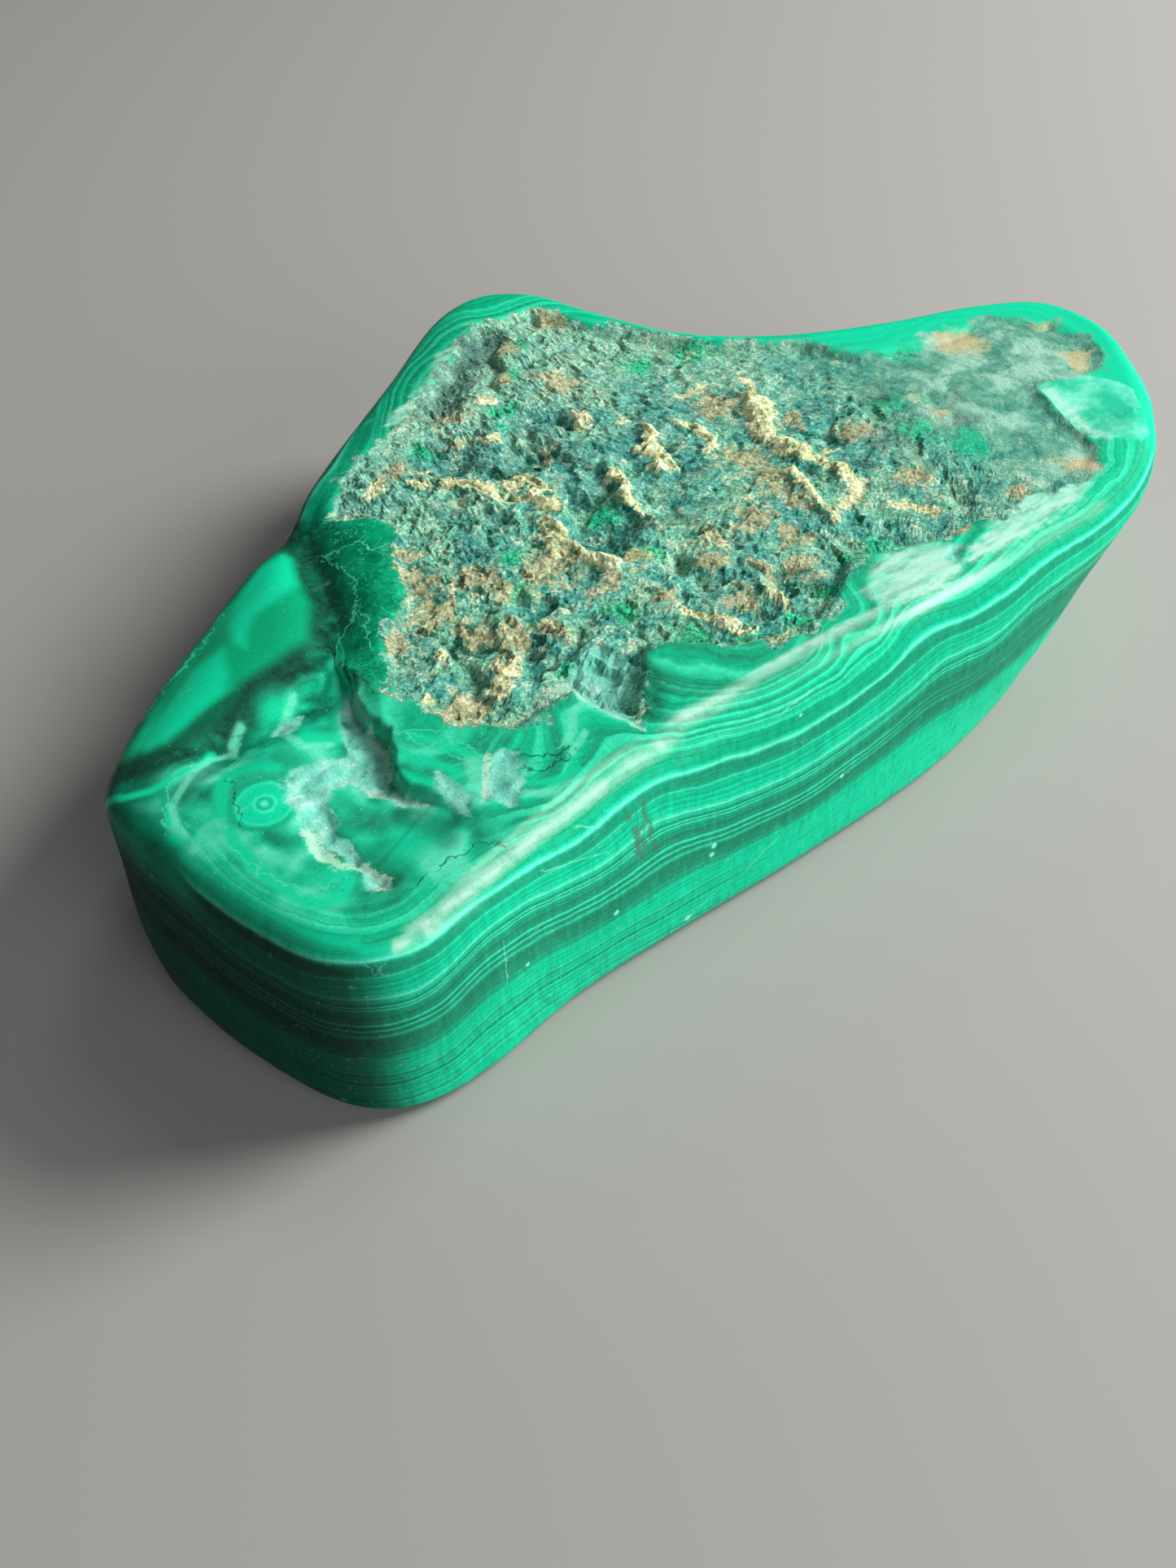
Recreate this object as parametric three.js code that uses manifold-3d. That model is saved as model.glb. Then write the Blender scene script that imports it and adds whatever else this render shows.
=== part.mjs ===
// A polished malachite stone: one free-form block with polished sides and rim, a sawn flat base,
// a sloping polished facet at the left end and a rough natural crust left in its top face.
// Millimetres, +Z up. The origin is the middle of the base and +X is the stone's long direction.

import * as THREE from 'three';
import { mergeVertices } from 'three/addons/utils/BufferGeometryUtils.js';
import Module from 'manifold-3d';

// Heights
const TOP = 20.9;
const CUT_MARGIN = 3;
const SAW_SPAN = 200;
const SAW_THICKNESS = 20;

// Fineness of the surface: cells along and across the top, and rings down the side
const CELLS_LONG = 62;
const CELLS_ACROSS = 37;
const RIM_RINGS = 3;
const WALL_RINGS = 4;
const BASE_RINGS = 2;
const CURVE_STEPS = 24;

// Form of the sides
const BASE_RADIUS = 1.5;
const WALL_BULGE = 0.35;
const WALL_WAVE = { spacing: 17, height: 0.4, seed: 21 };

// Outline of the sides seen from above, counter-clockwise: x, y, how far the base is drawn in
// under that point (less than nothing where the side flares out), and the rim's rounding there.
const OUTLINE = [
  [-55.1, -9.8, -0.6, 1.8],
  [-53.9, -17.5, -1.1, 2.6],
  [-51.6, -25.5, -0.9, 2.4],
  [-49.2, -30.4, -0.7, 2.2],
  [-45.4, -33.1, -0.6, 2.4],
  [-39.5, -33.5, -0.8, 2.8],
  [-30.0, -32.2, -1.0, 3.4],
  [-19.0, -31.4, -2.0, 3.8],
  [-6.0, -32.3, -1.7, 3.8],
  [10.0, -33.1, -0.8, 4.0],
  [22.0, -33.2, 1.3, 3.8],
  [31.0, -32.8, 4.4, 3.2],
  [38.3, -30.6, 6.4, 2.8],
  [45.2, -26.5, 7.8, 2.8],
  [51.2, -20.3, 8.2, 2.6],
  [55.4, -12.0, 5.6, 1.9],
  [54.2, -4.8, 2.8, 1.8],
  [47.5, -0.5, 1.0, 1.7],
  [37.2, 3.0, 0.6, 1.6],
  [27.0, 7.9, 0.4, 1.6],
  [19.4, 14.4, 0.4, 1.6],
  [14.8, 23.5, 0.6, 1.7],
  [12.2, 29.8, 0.9, 1.8],
  [7.1, 33.6, 1.0, 2.0],
  [0.2, 32.3, 0.9, 2.0],
  [-9.6, 25.5, 1.4, 2.0],
  [-20.5, 18.2, 1.2, 2.0],
  [-30.6, 10.7, 0.5, 2.0],
  [-38.5, 5.9, 0.6, 2.2],
  [-47.0, 0.3, 0.4, 2.2],
  [-52.8, -5.2, -0.1, 2.0],
];

// The top is woven between four corners: the outline's first point, the left tip, and these
// places in OUTLINE
const FRONT_CORNER = 4;
const LOBE_CORNER = 13;
const BACK_CORNER = 23;

// The sloping facet at the left end starts along a line from the notch to the left tip
const FACET_START = [-28.5, 8.5];
const FACET_END = [-54.5, -10.8];
const FACET_SOFTNESS = 1.6;
const FACET_SLOPE = 0.26;
const FACET_CURVE = 0.05;

// The smooth groove between that facet and the rest of the top
const GROOVE = [[-27.4, 12.0], [-29.6, 4.2], [-31.4, -1.6], [-34.6, -5.6], [-39.5, -8.2], [-45.5, -9.6]];
const GROOVE_DEPTH = 1.3;
const GROOVE_WIDTH = 2.4;

// Broken ledges, where the top steps down to the right of a line: the line, the drop at each of
// its points and how far the hollow below the step reaches. The first borders the basin at the
// left end, the second is a broken nodule, the third a chip at the front rim and the last the
// chipped tip of the right end.
const LEDGES = [
  {
    line: [
      [-34.4, -6.0], [-34.3, -9.3], [-35.4, -12.0], [-35.8, -14.2], [-34.9, -16.0], [-36.9, -19.3],
      [-37.0, -21.6], [-35.9, -23.6], [-34.6, -27.4],
    ],
    drops: [0, 1.2, 1.5, 1.5, 1.6, 1.5, 1.1, 0.7, 0],
    reach: 5.5,
  },
  {
    line: [[-42.9, -29.0], [-43.6, -26.2], [-45.2, -23.6], [-44.8, -20.6], [-44.6, -18.4]],
    drops: [0, 0.6, 0.7, 0.6, 0],
    reach: 3.2,
  },
  {
    line: [[-19.7, -28.2], [-20.2, -25.8], [-21.3, -23.4], [-21.6, -20.6]],
    drops: [0, 0.6, 0.8, 0],
    reach: 3.6,
  },
  {
    line: [[37.6, -25.2], [37.6, -22.8], [38.6, -19.6], [39.8, -15.4]],
    drops: [0, 0.7, 0.6, 0],
    reach: 5.5,
  },
];
const LEDGE_RUN = 0.7;

// Edge of the rough crust, a hollow that the polishing has not reached
const CRUST_EDGE = [
  [-26.4, 9.3], [-20.0, 15.2], [-11.8, 17.4], [-5.4, 22.8], [-0.8, 25.6], [3.0, 28.2], [9.4, 27.0],
  [13.4, 20.0], [19.5, 11.6], [28.0, 4.6], [30.5, -0.6], [37.3, -2.2], [47.7, -4.2], [51.4, -9.0],
  [50.6, -12.4], [46.4, -14.6], [40.0, -15.4], [38.2, -20.2], [37.2, -24.4], [35.6, -26.6],
  [32.0, -28.2], [23.9, -26.9], [16.4, -26.5], [10.8, -24.9], [6.7, -23.4], [3.9, -25.3],
  [0.0, -27.2], [-5.2, -26.8], [-9.4, -24.6], [-13.2, -21.0], [-19.5, -26.6], [-21.6, -21.4],
  [-27.5, -22.2], [-28.9, -19.6], [-32.9, -13.6], [-31.3, -7.6], [-29.0, -4.6], [-25.0, -0.3],
  [-22.4, 4.6],
];
const CRUST_SOFTNESS = 1.4;
const CRUST_DEPTH = 0.85;

// Above this height over the rim the crust's lumps are worn down to a third
const WORN_ABOVE = 0.15;
const WORN_RATIO = 0.33;

// Lumps of the crust: spacing, height and seed
const LUMPS = [
  { spacing: 6.5, height: 1.1, seed: 3 },
  { spacing: 3.4, height: 0.85, seed: 11 },
];
const LUMP_MIDDLE = 0.6;
const SWELL = { spacing: 13, height: 0.45, seed: 5 };

// How rough the crust is: the least share of the lumps' height, and places where more is added
// (x, y, radius, added share) up to a limit
const ROUGH_LEAST = 0.4;
const ROUGH_MOST = 1.2;
const ROUGH_SPOTS = [
  [-8.0, 5.5, 9.0, 0.8],
  [-19.0, -14.0, 8.0, 0.35],
  [-4.0, -19.0, 6.0, 0.3],
  [14.0, -10.0, 6.0, 0.25],
];

// The right end of the crust is worn nearly smooth
const WORN_FROM = 18;
const WORN_TO = 34;
const WORN_SHARE = 0.7;

// Pits: x, y, radius, depth
const PITS = [
  [0.0, 10.1, 1.6, 1.7],
  [-2.4, 11.4, 1.3, 1.0],
  [-5.2, 6.5, 2.2, 2.0],
  [-12.6, 10.4, 2.9, 1.7],
  [-9.4, 5.8, 1.6, 0.8],
  [-6.2, -0.9, 1.9, 1.2],
  [-8.7, -5.8, 2.2, 1.2],
  [-7.0, -7.9, 1.5, 1.0],
  [-0.6, -4.4, 1.4, 1.0],
  [-0.6, -7.6, 1.6, 1.1],
  [-4.2, -12.9, 1.5, 1.1],
  [-5.0, -17.2, 1.7, 1.1],
  [1.4, -14.2, 1.3, 0.9],
  [1.5, -20.4, 1.5, 1.1],
  [2.4, -23.0, 1.4, 0.8],
  [-3.8, -23.6, 1.2, 0.9],
  [5.9, 0.3, 1.3, 0.9],
  [-18.0, -11.0, 1.5, 0.9],
  [-21.0, -14.8, 1.6, 1.0],
  [-24.4, -11.6, 1.5, 0.8],
  [18.6, -8.6, 1.4, 0.8],
  [22.0, -21.6, 1.6, 0.8],
  [31.6, -10.4, 1.8, 0.6],
];

// Ridges and slabs standing up: their line, their height and their half width
const RIDGES = [
  { line: [[-21.0, 10.8], [-17.8, 7.6], [-15.4, 7.0]], height: 0.7, width: 1.6 },
  { line: [[-13.8, 5.8], [-13.9, 4.2], [-13.8, 2.0], [-12.6, -0.4]], height: 1.1, width: 1.1 },
  { line: [[-11.9, 4.2], [-10.2, 3.0], [-8.7, 1.6], [-9.3, -2.4]], height: 1.0, width: 1.1 },
  { line: [[-9.3, -2.2], [-11.3, -4.4], [-12.1, -7.4], [-9.8, -10.2]], height: 1.2, width: 1.2 },
  { line: [[-1.2, -0.2], [-2.2, -3.7], [-3.2, -8.2]], height: 1.3, width: 1.1 },
  { line: [[5.4, 2.9], [3.5, 0.9], [3.6, -1.2], [1.8, -2.0]], height: 0.8, width: 0.9 },
  { line: [[8.2, 2.8], [10.2, 1.4], [9.3, -1.6]], height: 0.6, width: 1.1 },
  { line: [[17.5, 1.0], [15.5, -2.5], [13.9, -6.5], [14.5, -9.2], [15.6, -13.6]], height: 0.8, width: 1.1 },
  { line: [[12.0, -11.0], [11.2, -14.7], [10.5, -18.0]], height: 0.7, width: 1.0 },
  { line: [[-6.2, -22.4], [-5.6, -24.4], [-2.2, -25.2]], height: 0.7, width: 1.0 },
  { line: [[-1.6, -21.2], [-0.4, -23.0], [1.2, -22.4]], height: 0.8, width: 1.0 },
  { line: [[-19.0, -15.6], [-18.0, -13.2]], height: 0.6, width: 1.3 },
  { line: [[-24.4, -16.0], [-22.4, -14.8]], height: 0.6, width: 1.1 },
  { line: [[-27.2, -17.6], [-25.4, -17.8]], height: 0.8, width: 1.1 },
  { line: [[-27.0, -11.0], [-28.4, -13.2]], height: 0.6, width: 1.0 },
  { line: [[-20.6, -5.2], [-18.4, -6.6]], height: 0.4, width: 1.6 },
  { line: [[3.4, 15.6], [4.6, 17.2]], height: 0.4, width: 1.5 },
  { line: [[-0.8, -19.4], [0.8, -18.8]], height: 0.5, width: 1.0 },
];

// Gullies: their line, their depth and their half width
const GULLIES = [
  { line: [[2.3, 26.6], [0.1, 24.3], [-4.5, 21.7], [-8.8, 17.8]], depth: 1.0, width: 1.9 },
  { line: [[2.4, 24.1], [0.3, 21.4], [-1.9, 18.5]], depth: 0.9, width: 0.9 },
  { line: [[-26.0, -10.2], [-26.4, -13.4], [-27.8, -16.8]], depth: 1.0, width: 1.0 },
  { line: [[-22.6, -17.2], [-19.4, -16.8], [-14.8, -15.0]], depth: 0.8, width: 0.9 },
];

// Low swells of the polished parts: x, y, radius, height
const SWELLS = [
  [-46.0, -17.2, 5.0, 0.35],
  [-47.5, -26.0, 4.5, 0.3],
  [-39.8, -27.0, 4.0, 0.2],
  [43.5, -19.5, 5.0, 0.3],
];

function smoothStep(from, to, value) {
  const t = Math.min(Math.max((value - from) / (to - from), 0), 1);
  return t * t * (3 - 2 * t);
}

function hump(distance, width) {
  return Math.exp(-((distance / width) ** 2));
}

// A number between 0 and 1 that is always the same for one lattice point and seed
function latticeValue(i, j, seed) {
  const wave = Math.sin(i * 127.1 + j * 311.7 + seed * 74.7) * 43758.5453;
  return wave - Math.floor(wave);
}

// Smooth noise between -1 and 1 with swells about one unit apart
function noise(x, y, seed) {
  const i = Math.floor(x);
  const j = Math.floor(y);
  const sx = smoothStep(0, 1, x - i);
  const sy = smoothStep(0, 1, y - j);
  const near = THREE.MathUtils.lerp(latticeValue(i, j, seed), latticeValue(i + 1, j, seed), sx);
  const far = THREE.MathUtils.lerp(latticeValue(i, j + 1, seed), latticeValue(i + 1, j + 1, seed), sx);
  return 2 * THREE.MathUtils.lerp(near, far, sy) - 1;
}

// Rounded lumps, one to a cell: 1 at a lump's middle and about 0 between lumps
function lumps(x, y, seed) {
  const i = Math.floor(x);
  const j = Math.floor(y);
  let nearest = 4;
  for (let a = i - 1; a <= i + 1; a += 1) {
    for (let b = j - 1; b <= j + 1; b += 1) {
      const dx = a + latticeValue(a, b, seed) - x;
      const dy = b + latticeValue(a, b, seed + 1) - y;
      nearest = Math.min(nearest, dx * dx + dy * dy);
    }
  }
  return 1 - Math.min(nearest, 1);
}

// Distance from a point to a line of points. Also says on which side of the line the point
// lies (left of it is positive) and how far along the nearest place is, in segments.
function nearLine(x, y, line) {
  let best = { distance: Infinity, side: 1, along: 0 };
  for (let k = 0; k + 1 < line.length; k += 1) {
    const [ax, ay] = line[k];
    const [bx, by] = line[k + 1];
    const length2 = (bx - ax) ** 2 + (by - ay) ** 2;
    const t = Math.min(Math.max(((x - ax) * (bx - ax) + (y - ay) * (by - ay)) / length2, 0), 1);
    const distance = Math.hypot(x - ax - t * (bx - ax), y - ay - t * (by - ay));
    if (distance < best.distance) {
      const side = Math.sign((bx - ax) * (y - ay) - (by - ay) * (x - ax));
      best = { distance, side, along: k + t };
    }
  }
  return best;
}

function isInside(x, y, ring) {
  let inside = false;
  for (let k = 0; k < ring.length; k += 1) {
    const [ax, ay] = ring[k];
    const [bx, by] = ring[(k + 1) % ring.length];
    if (ay > y !== by > y && x < ax + ((y - ay) / (by - ay)) * (bx - ax)) {
      inside = !inside;
    }
  }
  return inside;
}

// How much of the crust's form a point has: 0 outside its edge and 1 well inside
function crustShare(x, y) {
  if (!isInside(x, y, CRUST_EDGE)) {
    return 0;
  }
  const closed = [...CRUST_EDGE, CRUST_EDGE[0]];
  return smoothStep(0, CRUST_SOFTNESS, nearLine(x, y, closed).distance);
}

function roughShare(x, y) {
  let share = ROUGH_LEAST;
  for (const [sx, sy, radius, added] of ROUGH_SPOTS) {
    share += added * hump(Math.hypot(x - sx, y - sy), radius);
  }
  return Math.min(share, ROUGH_MOST);
}

function crustRelief(x, y) {
  const worn = WORN_SHARE * smoothStep(WORN_FROM, WORN_TO, x);
  const rough = roughShare(x, y);
  let relief = SWELL.height * noise(x / SWELL.spacing, y / SWELL.spacing, SWELL.seed);
  relief -= (1 - worn) * CRUST_DEPTH;
  for (const lump of LUMPS) {
    const share = (1 - worn) * rough * lump.height;
    relief += share * (lumps(x / lump.spacing, y / lump.spacing, lump.seed) - LUMP_MIDDLE);
  }
  for (const ridge of RIDGES) {
    relief += ridge.height * hump(nearLine(x, y, ridge.line).distance, ridge.width);
  }
  for (const gully of GULLIES) {
    relief -= gully.depth * hump(nearLine(x, y, gully.line).distance, gully.width);
  }
  for (const [px, py, radius, depth] of PITS) {
    relief -= depth * hump(Math.hypot(x - px, y - py), radius);
  }
  return relief > WORN_ABOVE ? WORN_ABOVE + WORN_RATIO * (relief - WORN_ABOVE) : relief;
}

// How far the left facet has dropped below the top
function facetDrop(x, y) {
  const [ax, ay] = FACET_START;
  const [bx, by] = FACET_END;
  const length = Math.hypot(bx - ax, by - ay);
  const across = ((by - ay) * (x - ax) - (bx - ax) * (y - ay)) / length;
  const outward = (across + Math.hypot(across, FACET_SOFTNESS)) / 2;
  return FACET_SLOPE * outward + FACET_CURVE * outward * outward;
}

// How far a ledge has dropped a point, on the right of its line
function ledgeDrop(x, y, ledge) {
  const { distance, side, along } = nearLine(x, y, ledge.line);
  const k = Math.min(Math.floor(along), ledge.line.length - 2);
  const drop = THREE.MathUtils.lerp(ledge.drops[k], ledge.drops[k + 1], along - k);
  const right = -side * distance;
  return drop * smoothStep(-LEDGE_RUN, LEDGE_RUN, right) * hump(Math.max(right, 0), ledge.reach);
}

function topHeight(x, y) {
  let z = TOP - facetDrop(x, y);
  for (const ledge of LEDGES) {
    z -= ledgeDrop(x, y, ledge);
  }
  z -= GROOVE_DEPTH * hump(nearLine(x, y, GROOVE).distance, GROOVE_WIDTH);
  for (const [sx, sy, radius, height] of SWELLS) {
    z += height * hump(Math.hypot(x - sx, y - sy), radius);
  }
  const share = crustShare(x, y);
  if (share > 0) {
    z += share * crustRelief(x, y);
  }
  return z;
}

// The side's outline as a closed curve, whose third coordinate is the drawing-in of the base
const outline = new THREE.CatmullRomCurve3(
  OUTLINE.map(([x, y, drawIn]) => new THREE.Vector3(x, y, drawIn)), true, 'catmullrom', 0.5);
outline.arcLengthDivisions = OUTLINE.length * CURVE_STEPS;
const lengths = outline.getLengths();
const cornerAt = (station) => lengths[station * CURVE_STEPS] / lengths[lengths.length - 1];
const FRONT_AT = cornerAt(FRONT_CORNER);
const LOBE_AT = cornerAt(LOBE_CORNER);
const BACK_AT = cornerAt(BACK_CORNER);

// A point of the outline moved inwards, and the outline's share of the base's drawing-in there
function outlinePoint(t, inset) {
  const at = ((t % 1) + 1) % 1;
  const point = outline.getPointAt(at);
  const tangent = outline.getTangentAt(at);
  const size = Math.hypot(tangent.x, tangent.y);
  return {
    x: point.x - (inset * tangent.y) / size,
    y: point.y + (inset * tangent.x) / size,
    drawIn: point.z,
  };
}

// The rim's rounding, eased from one station of the outline to the next
function rimRadius(t) {
  const station = outline.getUtoTmapping(((t % 1) + 1) % 1) * OUTLINE.length;
  const k = Math.floor(station);
  const here = OUTLINE[k % OUTLINE.length][3];
  const next = OUTLINE[(k + 1) % OUTLINE.length][3];
  return THREE.MathUtils.lerp(here, next, smoothStep(0, 1, station - k));
}

// Where the top's grid meets the outline: u runs along the stone and v across it
const frontSide = (u) => FRONT_AT + u * (LOBE_AT - FRONT_AT);
const backSide = (u) => 1 - u * (1 - BACK_AT);
const leftEnd = (v) => FRONT_AT * (1 - v);
const rightEnd = (v) => LOBE_AT + v * (BACK_AT - LOBE_AT);

// A point of the top, woven between the four sides of the outline
function weave(u, v) {
  const at = (t) => outlinePoint(t, rimRadius(t));
  const front = at(frontSide(u));
  const back = at(backSide(u));
  const left = at(leftEnd(v));
  const right = at(rightEnd(v));
  const corners = [at(FRONT_AT), at(LOBE_AT), at(1), at(BACK_AT)];
  const mix = (key) => (1 - v) * front[key] + v * back[key] + (1 - u) * left[key] + u * right[key]
    - (1 - u) * (1 - v) * corners[0][key] - u * (1 - v) * corners[1][key]
    - (1 - u) * v * corners[2][key] - u * v * corners[3][key];
  return { x: mix('x'), y: mix('y') };
}

function sideParameter(u, v) {
  if (v === 0) {
    return frontSide(u);
  }
  if (v === 1) {
    return backSide(u);
  }
  return u === 0 ? leftEnd(v) : rightEnd(v);
}

// A point of the side: ring 0 is the edge of the top, the first rings round the rim, the next go
// down the wall and round its foot, and the last one is below the base.
function sidePoint(t, ring) {
  const radius = rimRadius(t);
  const edge = outlinePoint(t, radius);
  const edgeHeight = topHeight(edge.x, edge.y);
  if (ring <= RIM_RINGS) {
    const angle = (ring / RIM_RINGS) * (Math.PI / 2);
    const point = outlinePoint(t, radius * (1 - Math.sin(angle)));
    return new THREE.Vector3(point.x, point.y, edgeHeight - radius * (1 - Math.cos(angle)));
  }
  const wallTop = edgeHeight - radius;
  const wallRing = ring - RIM_RINGS;
  const footAngle = (Math.max(wallRing - WALL_RINGS, 0) / BASE_RINGS) * (Math.PI / 2);
  const rounding = BASE_RADIUS * (1 - Math.cos(Math.min(footAngle, Math.PI / 2)));
  let z = THREE.MathUtils.lerp(wallTop, BASE_RADIUS, Math.min(wallRing / WALL_RINGS, 1));
  z -= BASE_RADIUS * Math.sin(Math.min(footAngle, Math.PI / 2));
  const down = 1 - z / wallTop;
  const { spacing, height, seed } = WALL_WAVE;
  const wave = height * noise((edge.x + z) / spacing, (edge.y - z) / spacing, seed);
  const swell = (WALL_BULGE + wave) * Math.sin(Math.PI * down);
  const point = outlinePoint(t, edge.drawIn * down - swell + rounding);
  return new THREE.Vector3(point.x, point.y, wallRing > WALL_RINGS + BASE_RINGS ? -CUT_MARGIN : z);
}

// The whole block: a box's grid of cells, with every vertex moved to its place on the stone
function blockGeometry() {
  const rings = RIM_RINGS + WALL_RINGS + BASE_RINGS + 1;
  const geometry = new THREE.BoxGeometry(1, 1, 1, CELLS_LONG, CELLS_ACROSS, rings);
  const position = geometry.getAttribute('position');
  const cell = (coordinate, cells) => Math.round((coordinate + 0.5) * cells);
  for (let k = 0; k < position.count; k += 1) {
    const u = cell(position.getX(k), CELLS_LONG) / CELLS_LONG;
    const v = cell(position.getY(k), CELLS_ACROSS) / CELLS_ACROSS;
    const ring = rings - cell(position.getZ(k), rings);
    if (u === 0 || u === 1 || v === 0 || v === 1) {
      const place = sidePoint(sideParameter(u, v), ring);
      position.setXYZ(k, place.x, place.y, place.z);
    } else {
      const place = weave(u, v);
      position.setXYZ(k, place.x, place.y, ring === 0 ? topHeight(place.x, place.y) : -CUT_MARGIN);
    }
  }
  return geometry;
}

const wasm = await Module();
wasm.setup();

function toSolid(geometry) {
  const bare = geometry.clone();
  bare.deleteAttribute('normal');
  bare.deleteAttribute('uv');
  const merged = mergeVertices(bare, 1e-4);
  return new wasm.Manifold(new wasm.Mesh({
    numProp: 3,
    vertProperties: new Float32Array(merged.getAttribute('position').array),
    triVerts: new Uint32Array(merged.getIndex().array),
  }));
}

function toGeometry(solid) {
  const mesh = solid.getMesh();
  const geometry = new THREE.BufferGeometry();
  geometry.setAttribute('position', new THREE.BufferAttribute(mesh.vertProperties, 3));
  geometry.setIndex(new THREE.BufferAttribute(mesh.triVerts, 1));
  geometry.computeVertexNormals();
  return geometry;
}

// The sawn base: everything below z = 0 is cut away. The stone is then moved sideways, so that
// the middle of its overall size is over the origin.
function sawnGeometry() {
  const saw = new THREE.BoxGeometry(SAW_SPAN, SAW_SPAN, SAW_THICKNESS);
  saw.translate(0, 0, -SAW_THICKNESS / 2);
  const geometry = toGeometry(toSolid(blockGeometry()).subtract(toSolid(saw)));
  geometry.computeBoundingBox();
  const middle = geometry.boundingBox.getCenter(new THREE.Vector3());
  return geometry.translate(-middle.x, -middle.y, 0);
}

const malachite = new THREE.MeshStandardMaterial({
  color: new THREE.Color(0.07, 0.5, 0.36),
  roughness: 0.35,
  metalness: 0,
});

const stone = new THREE.Mesh(sawnGeometry(), malachite);
stone.name = 'stone';

const part = new THREE.Group();
part.add(stone);

export default part;
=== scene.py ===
"""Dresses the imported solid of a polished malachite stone: its surface, finish and stage."""

import math

import bmesh
import bpy
import numpy as np
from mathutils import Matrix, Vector


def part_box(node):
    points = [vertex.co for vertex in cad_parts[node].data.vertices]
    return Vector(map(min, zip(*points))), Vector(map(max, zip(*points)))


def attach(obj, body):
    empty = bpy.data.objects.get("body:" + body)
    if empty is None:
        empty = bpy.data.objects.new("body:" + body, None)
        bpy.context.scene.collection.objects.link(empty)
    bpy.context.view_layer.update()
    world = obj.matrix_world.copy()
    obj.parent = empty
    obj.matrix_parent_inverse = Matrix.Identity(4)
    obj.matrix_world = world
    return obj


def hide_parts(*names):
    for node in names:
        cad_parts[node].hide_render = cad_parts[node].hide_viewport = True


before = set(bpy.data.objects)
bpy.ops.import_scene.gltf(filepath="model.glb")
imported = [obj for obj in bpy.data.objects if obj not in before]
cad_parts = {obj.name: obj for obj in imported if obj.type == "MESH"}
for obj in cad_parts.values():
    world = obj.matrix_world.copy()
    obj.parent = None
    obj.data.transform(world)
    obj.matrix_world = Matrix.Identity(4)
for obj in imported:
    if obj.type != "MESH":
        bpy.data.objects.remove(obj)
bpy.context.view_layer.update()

bl_info = {
    "name": "Polished Malachite Stone",
    "version": (1, 0, 0),
    "blender": (4, 5, 0),
    "location": "View3D > Sidebar > Stone",
    "description": "Builds a polished malachite stone with a rough crust in its top face",
    "category": "Add Mesh",
}

# All sizes of the stone are in millimetres in its outline's own frame. MM makes them metres.
MM = 0.001

# Fineness of the visible surface
CELLS_LONG = 330
CELLS_ACROSS = 190
RIM_RINGS = 6
WALL_RINGS = 17
FOOT_RINGS = 4
CURVE_STEPS = 60
RING_STEP = 12

# Form of the sides. Every wave, here and below, is given by its spacing, height and seed.
TOP = 20.9
FOOT_RADIUS = 1.5
WALL_BULGE = 0.35
WALL_WAVE = (17.0, 0.4, 21)

# Outline of the sides seen from above, counter-clockwise: x, y, how far the base is drawn in
# under that point, and the rim's rounding there.
OUTLINE = (
    (-55.1, -9.8, -0.6, 1.8), (-53.9, -17.5, -1.1, 2.6), (-51.6, -25.5, -0.9, 2.4),
    (-49.2, -30.4, -0.7, 2.2), (-45.4, -33.1, -0.6, 2.4), (-39.5, -33.5, -0.8, 2.8),
    (-30.0, -32.2, -1.0, 3.4), (-19.0, -31.4, -2.0, 3.8), (-6.0, -32.3, -1.7, 3.8),
    (10.0, -33.1, -0.8, 4.0), (22.0, -33.2, 1.3, 3.8), (31.0, -32.8, 4.4, 3.2), (38.3, -30.6, 6.4, 2.8),
    (45.2, -26.5, 7.8, 2.8), (51.2, -20.3, 8.2, 2.6), (55.4, -12.0, 5.6, 1.9), (54.2, -4.8, 2.8, 1.8),
    (47.5, -0.5, 1.0, 1.7), (37.2, 3.0, 0.6, 1.6), (27.0, 7.9, 0.4, 1.6), (19.4, 14.4, 0.4, 1.6),
    (14.8, 23.5, 0.6, 1.7), (12.2, 29.8, 0.9, 1.8), (7.1, 33.6, 1.0, 2.0), (0.2, 32.3, 0.9, 2.0),
    (-9.6, 25.5, 1.4, 2.0), (-20.5, 18.2, 1.2, 2.0), (-30.6, 10.7, 0.5, 2.0), (-38.5, 5.9, 0.6, 2.2),
    (-47.0, 0.3, 0.4, 2.2), (-52.8, -5.2, -0.1, 2.0),
)
FRONT_CORNER = 4
LOBE_CORNER = 13
BACK_CORNER = 23

# The sloping facet at the left end
FACET_START = (-28.5, 8.5)
FACET_END = (-54.5, -10.8)
FACET_SOFTNESS = 1.6
FACET_SLOPE = 0.26
FACET_CURVE = 0.05

GROOVE = ((-27.4, 12.0), (-29.6, 4.2), (-31.4, -1.6), (-34.6, -5.6), (-39.5, -8.2), (-45.5, -9.6))
GROOVE_DEPTH = 1.3
GROOVE_WIDTH = 2.4

# Broken ledges: the line, the drop on its right at each point, and the reach of the hollow below
LEDGES = (
    (((-34.4, -6.0), (-34.3, -9.3), (-35.4, -12.0), (-35.8, -14.2), (-34.9, -16.0), (-36.9, -19.3),
     (-37.0, -21.6), (-35.9, -23.6), (-34.6, -27.4)), (0.0, 1.2, 1.5, 1.5, 1.6, 1.5, 1.1, 0.7, 0.0),
     5.5),
    (((-42.9, -29.0), (-43.6, -26.2), (-45.2, -23.6), (-44.8, -20.6), (-44.6, -18.4)),
     (0.0, 0.6, 0.7, 0.6, 0.0), 3.2),
    (((-19.7, -28.2), (-20.2, -25.8), (-21.3, -23.4), (-21.6, -20.6)), (0.0, 0.6, 0.8, 0.0), 3.6),
    (((37.6, -25.2), (37.6, -22.8), (38.6, -19.6), (39.8, -15.4)), (0.0, 0.7, 0.6, 0.0), 5.5),
)
LEDGE_RUN = 0.35
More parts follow.
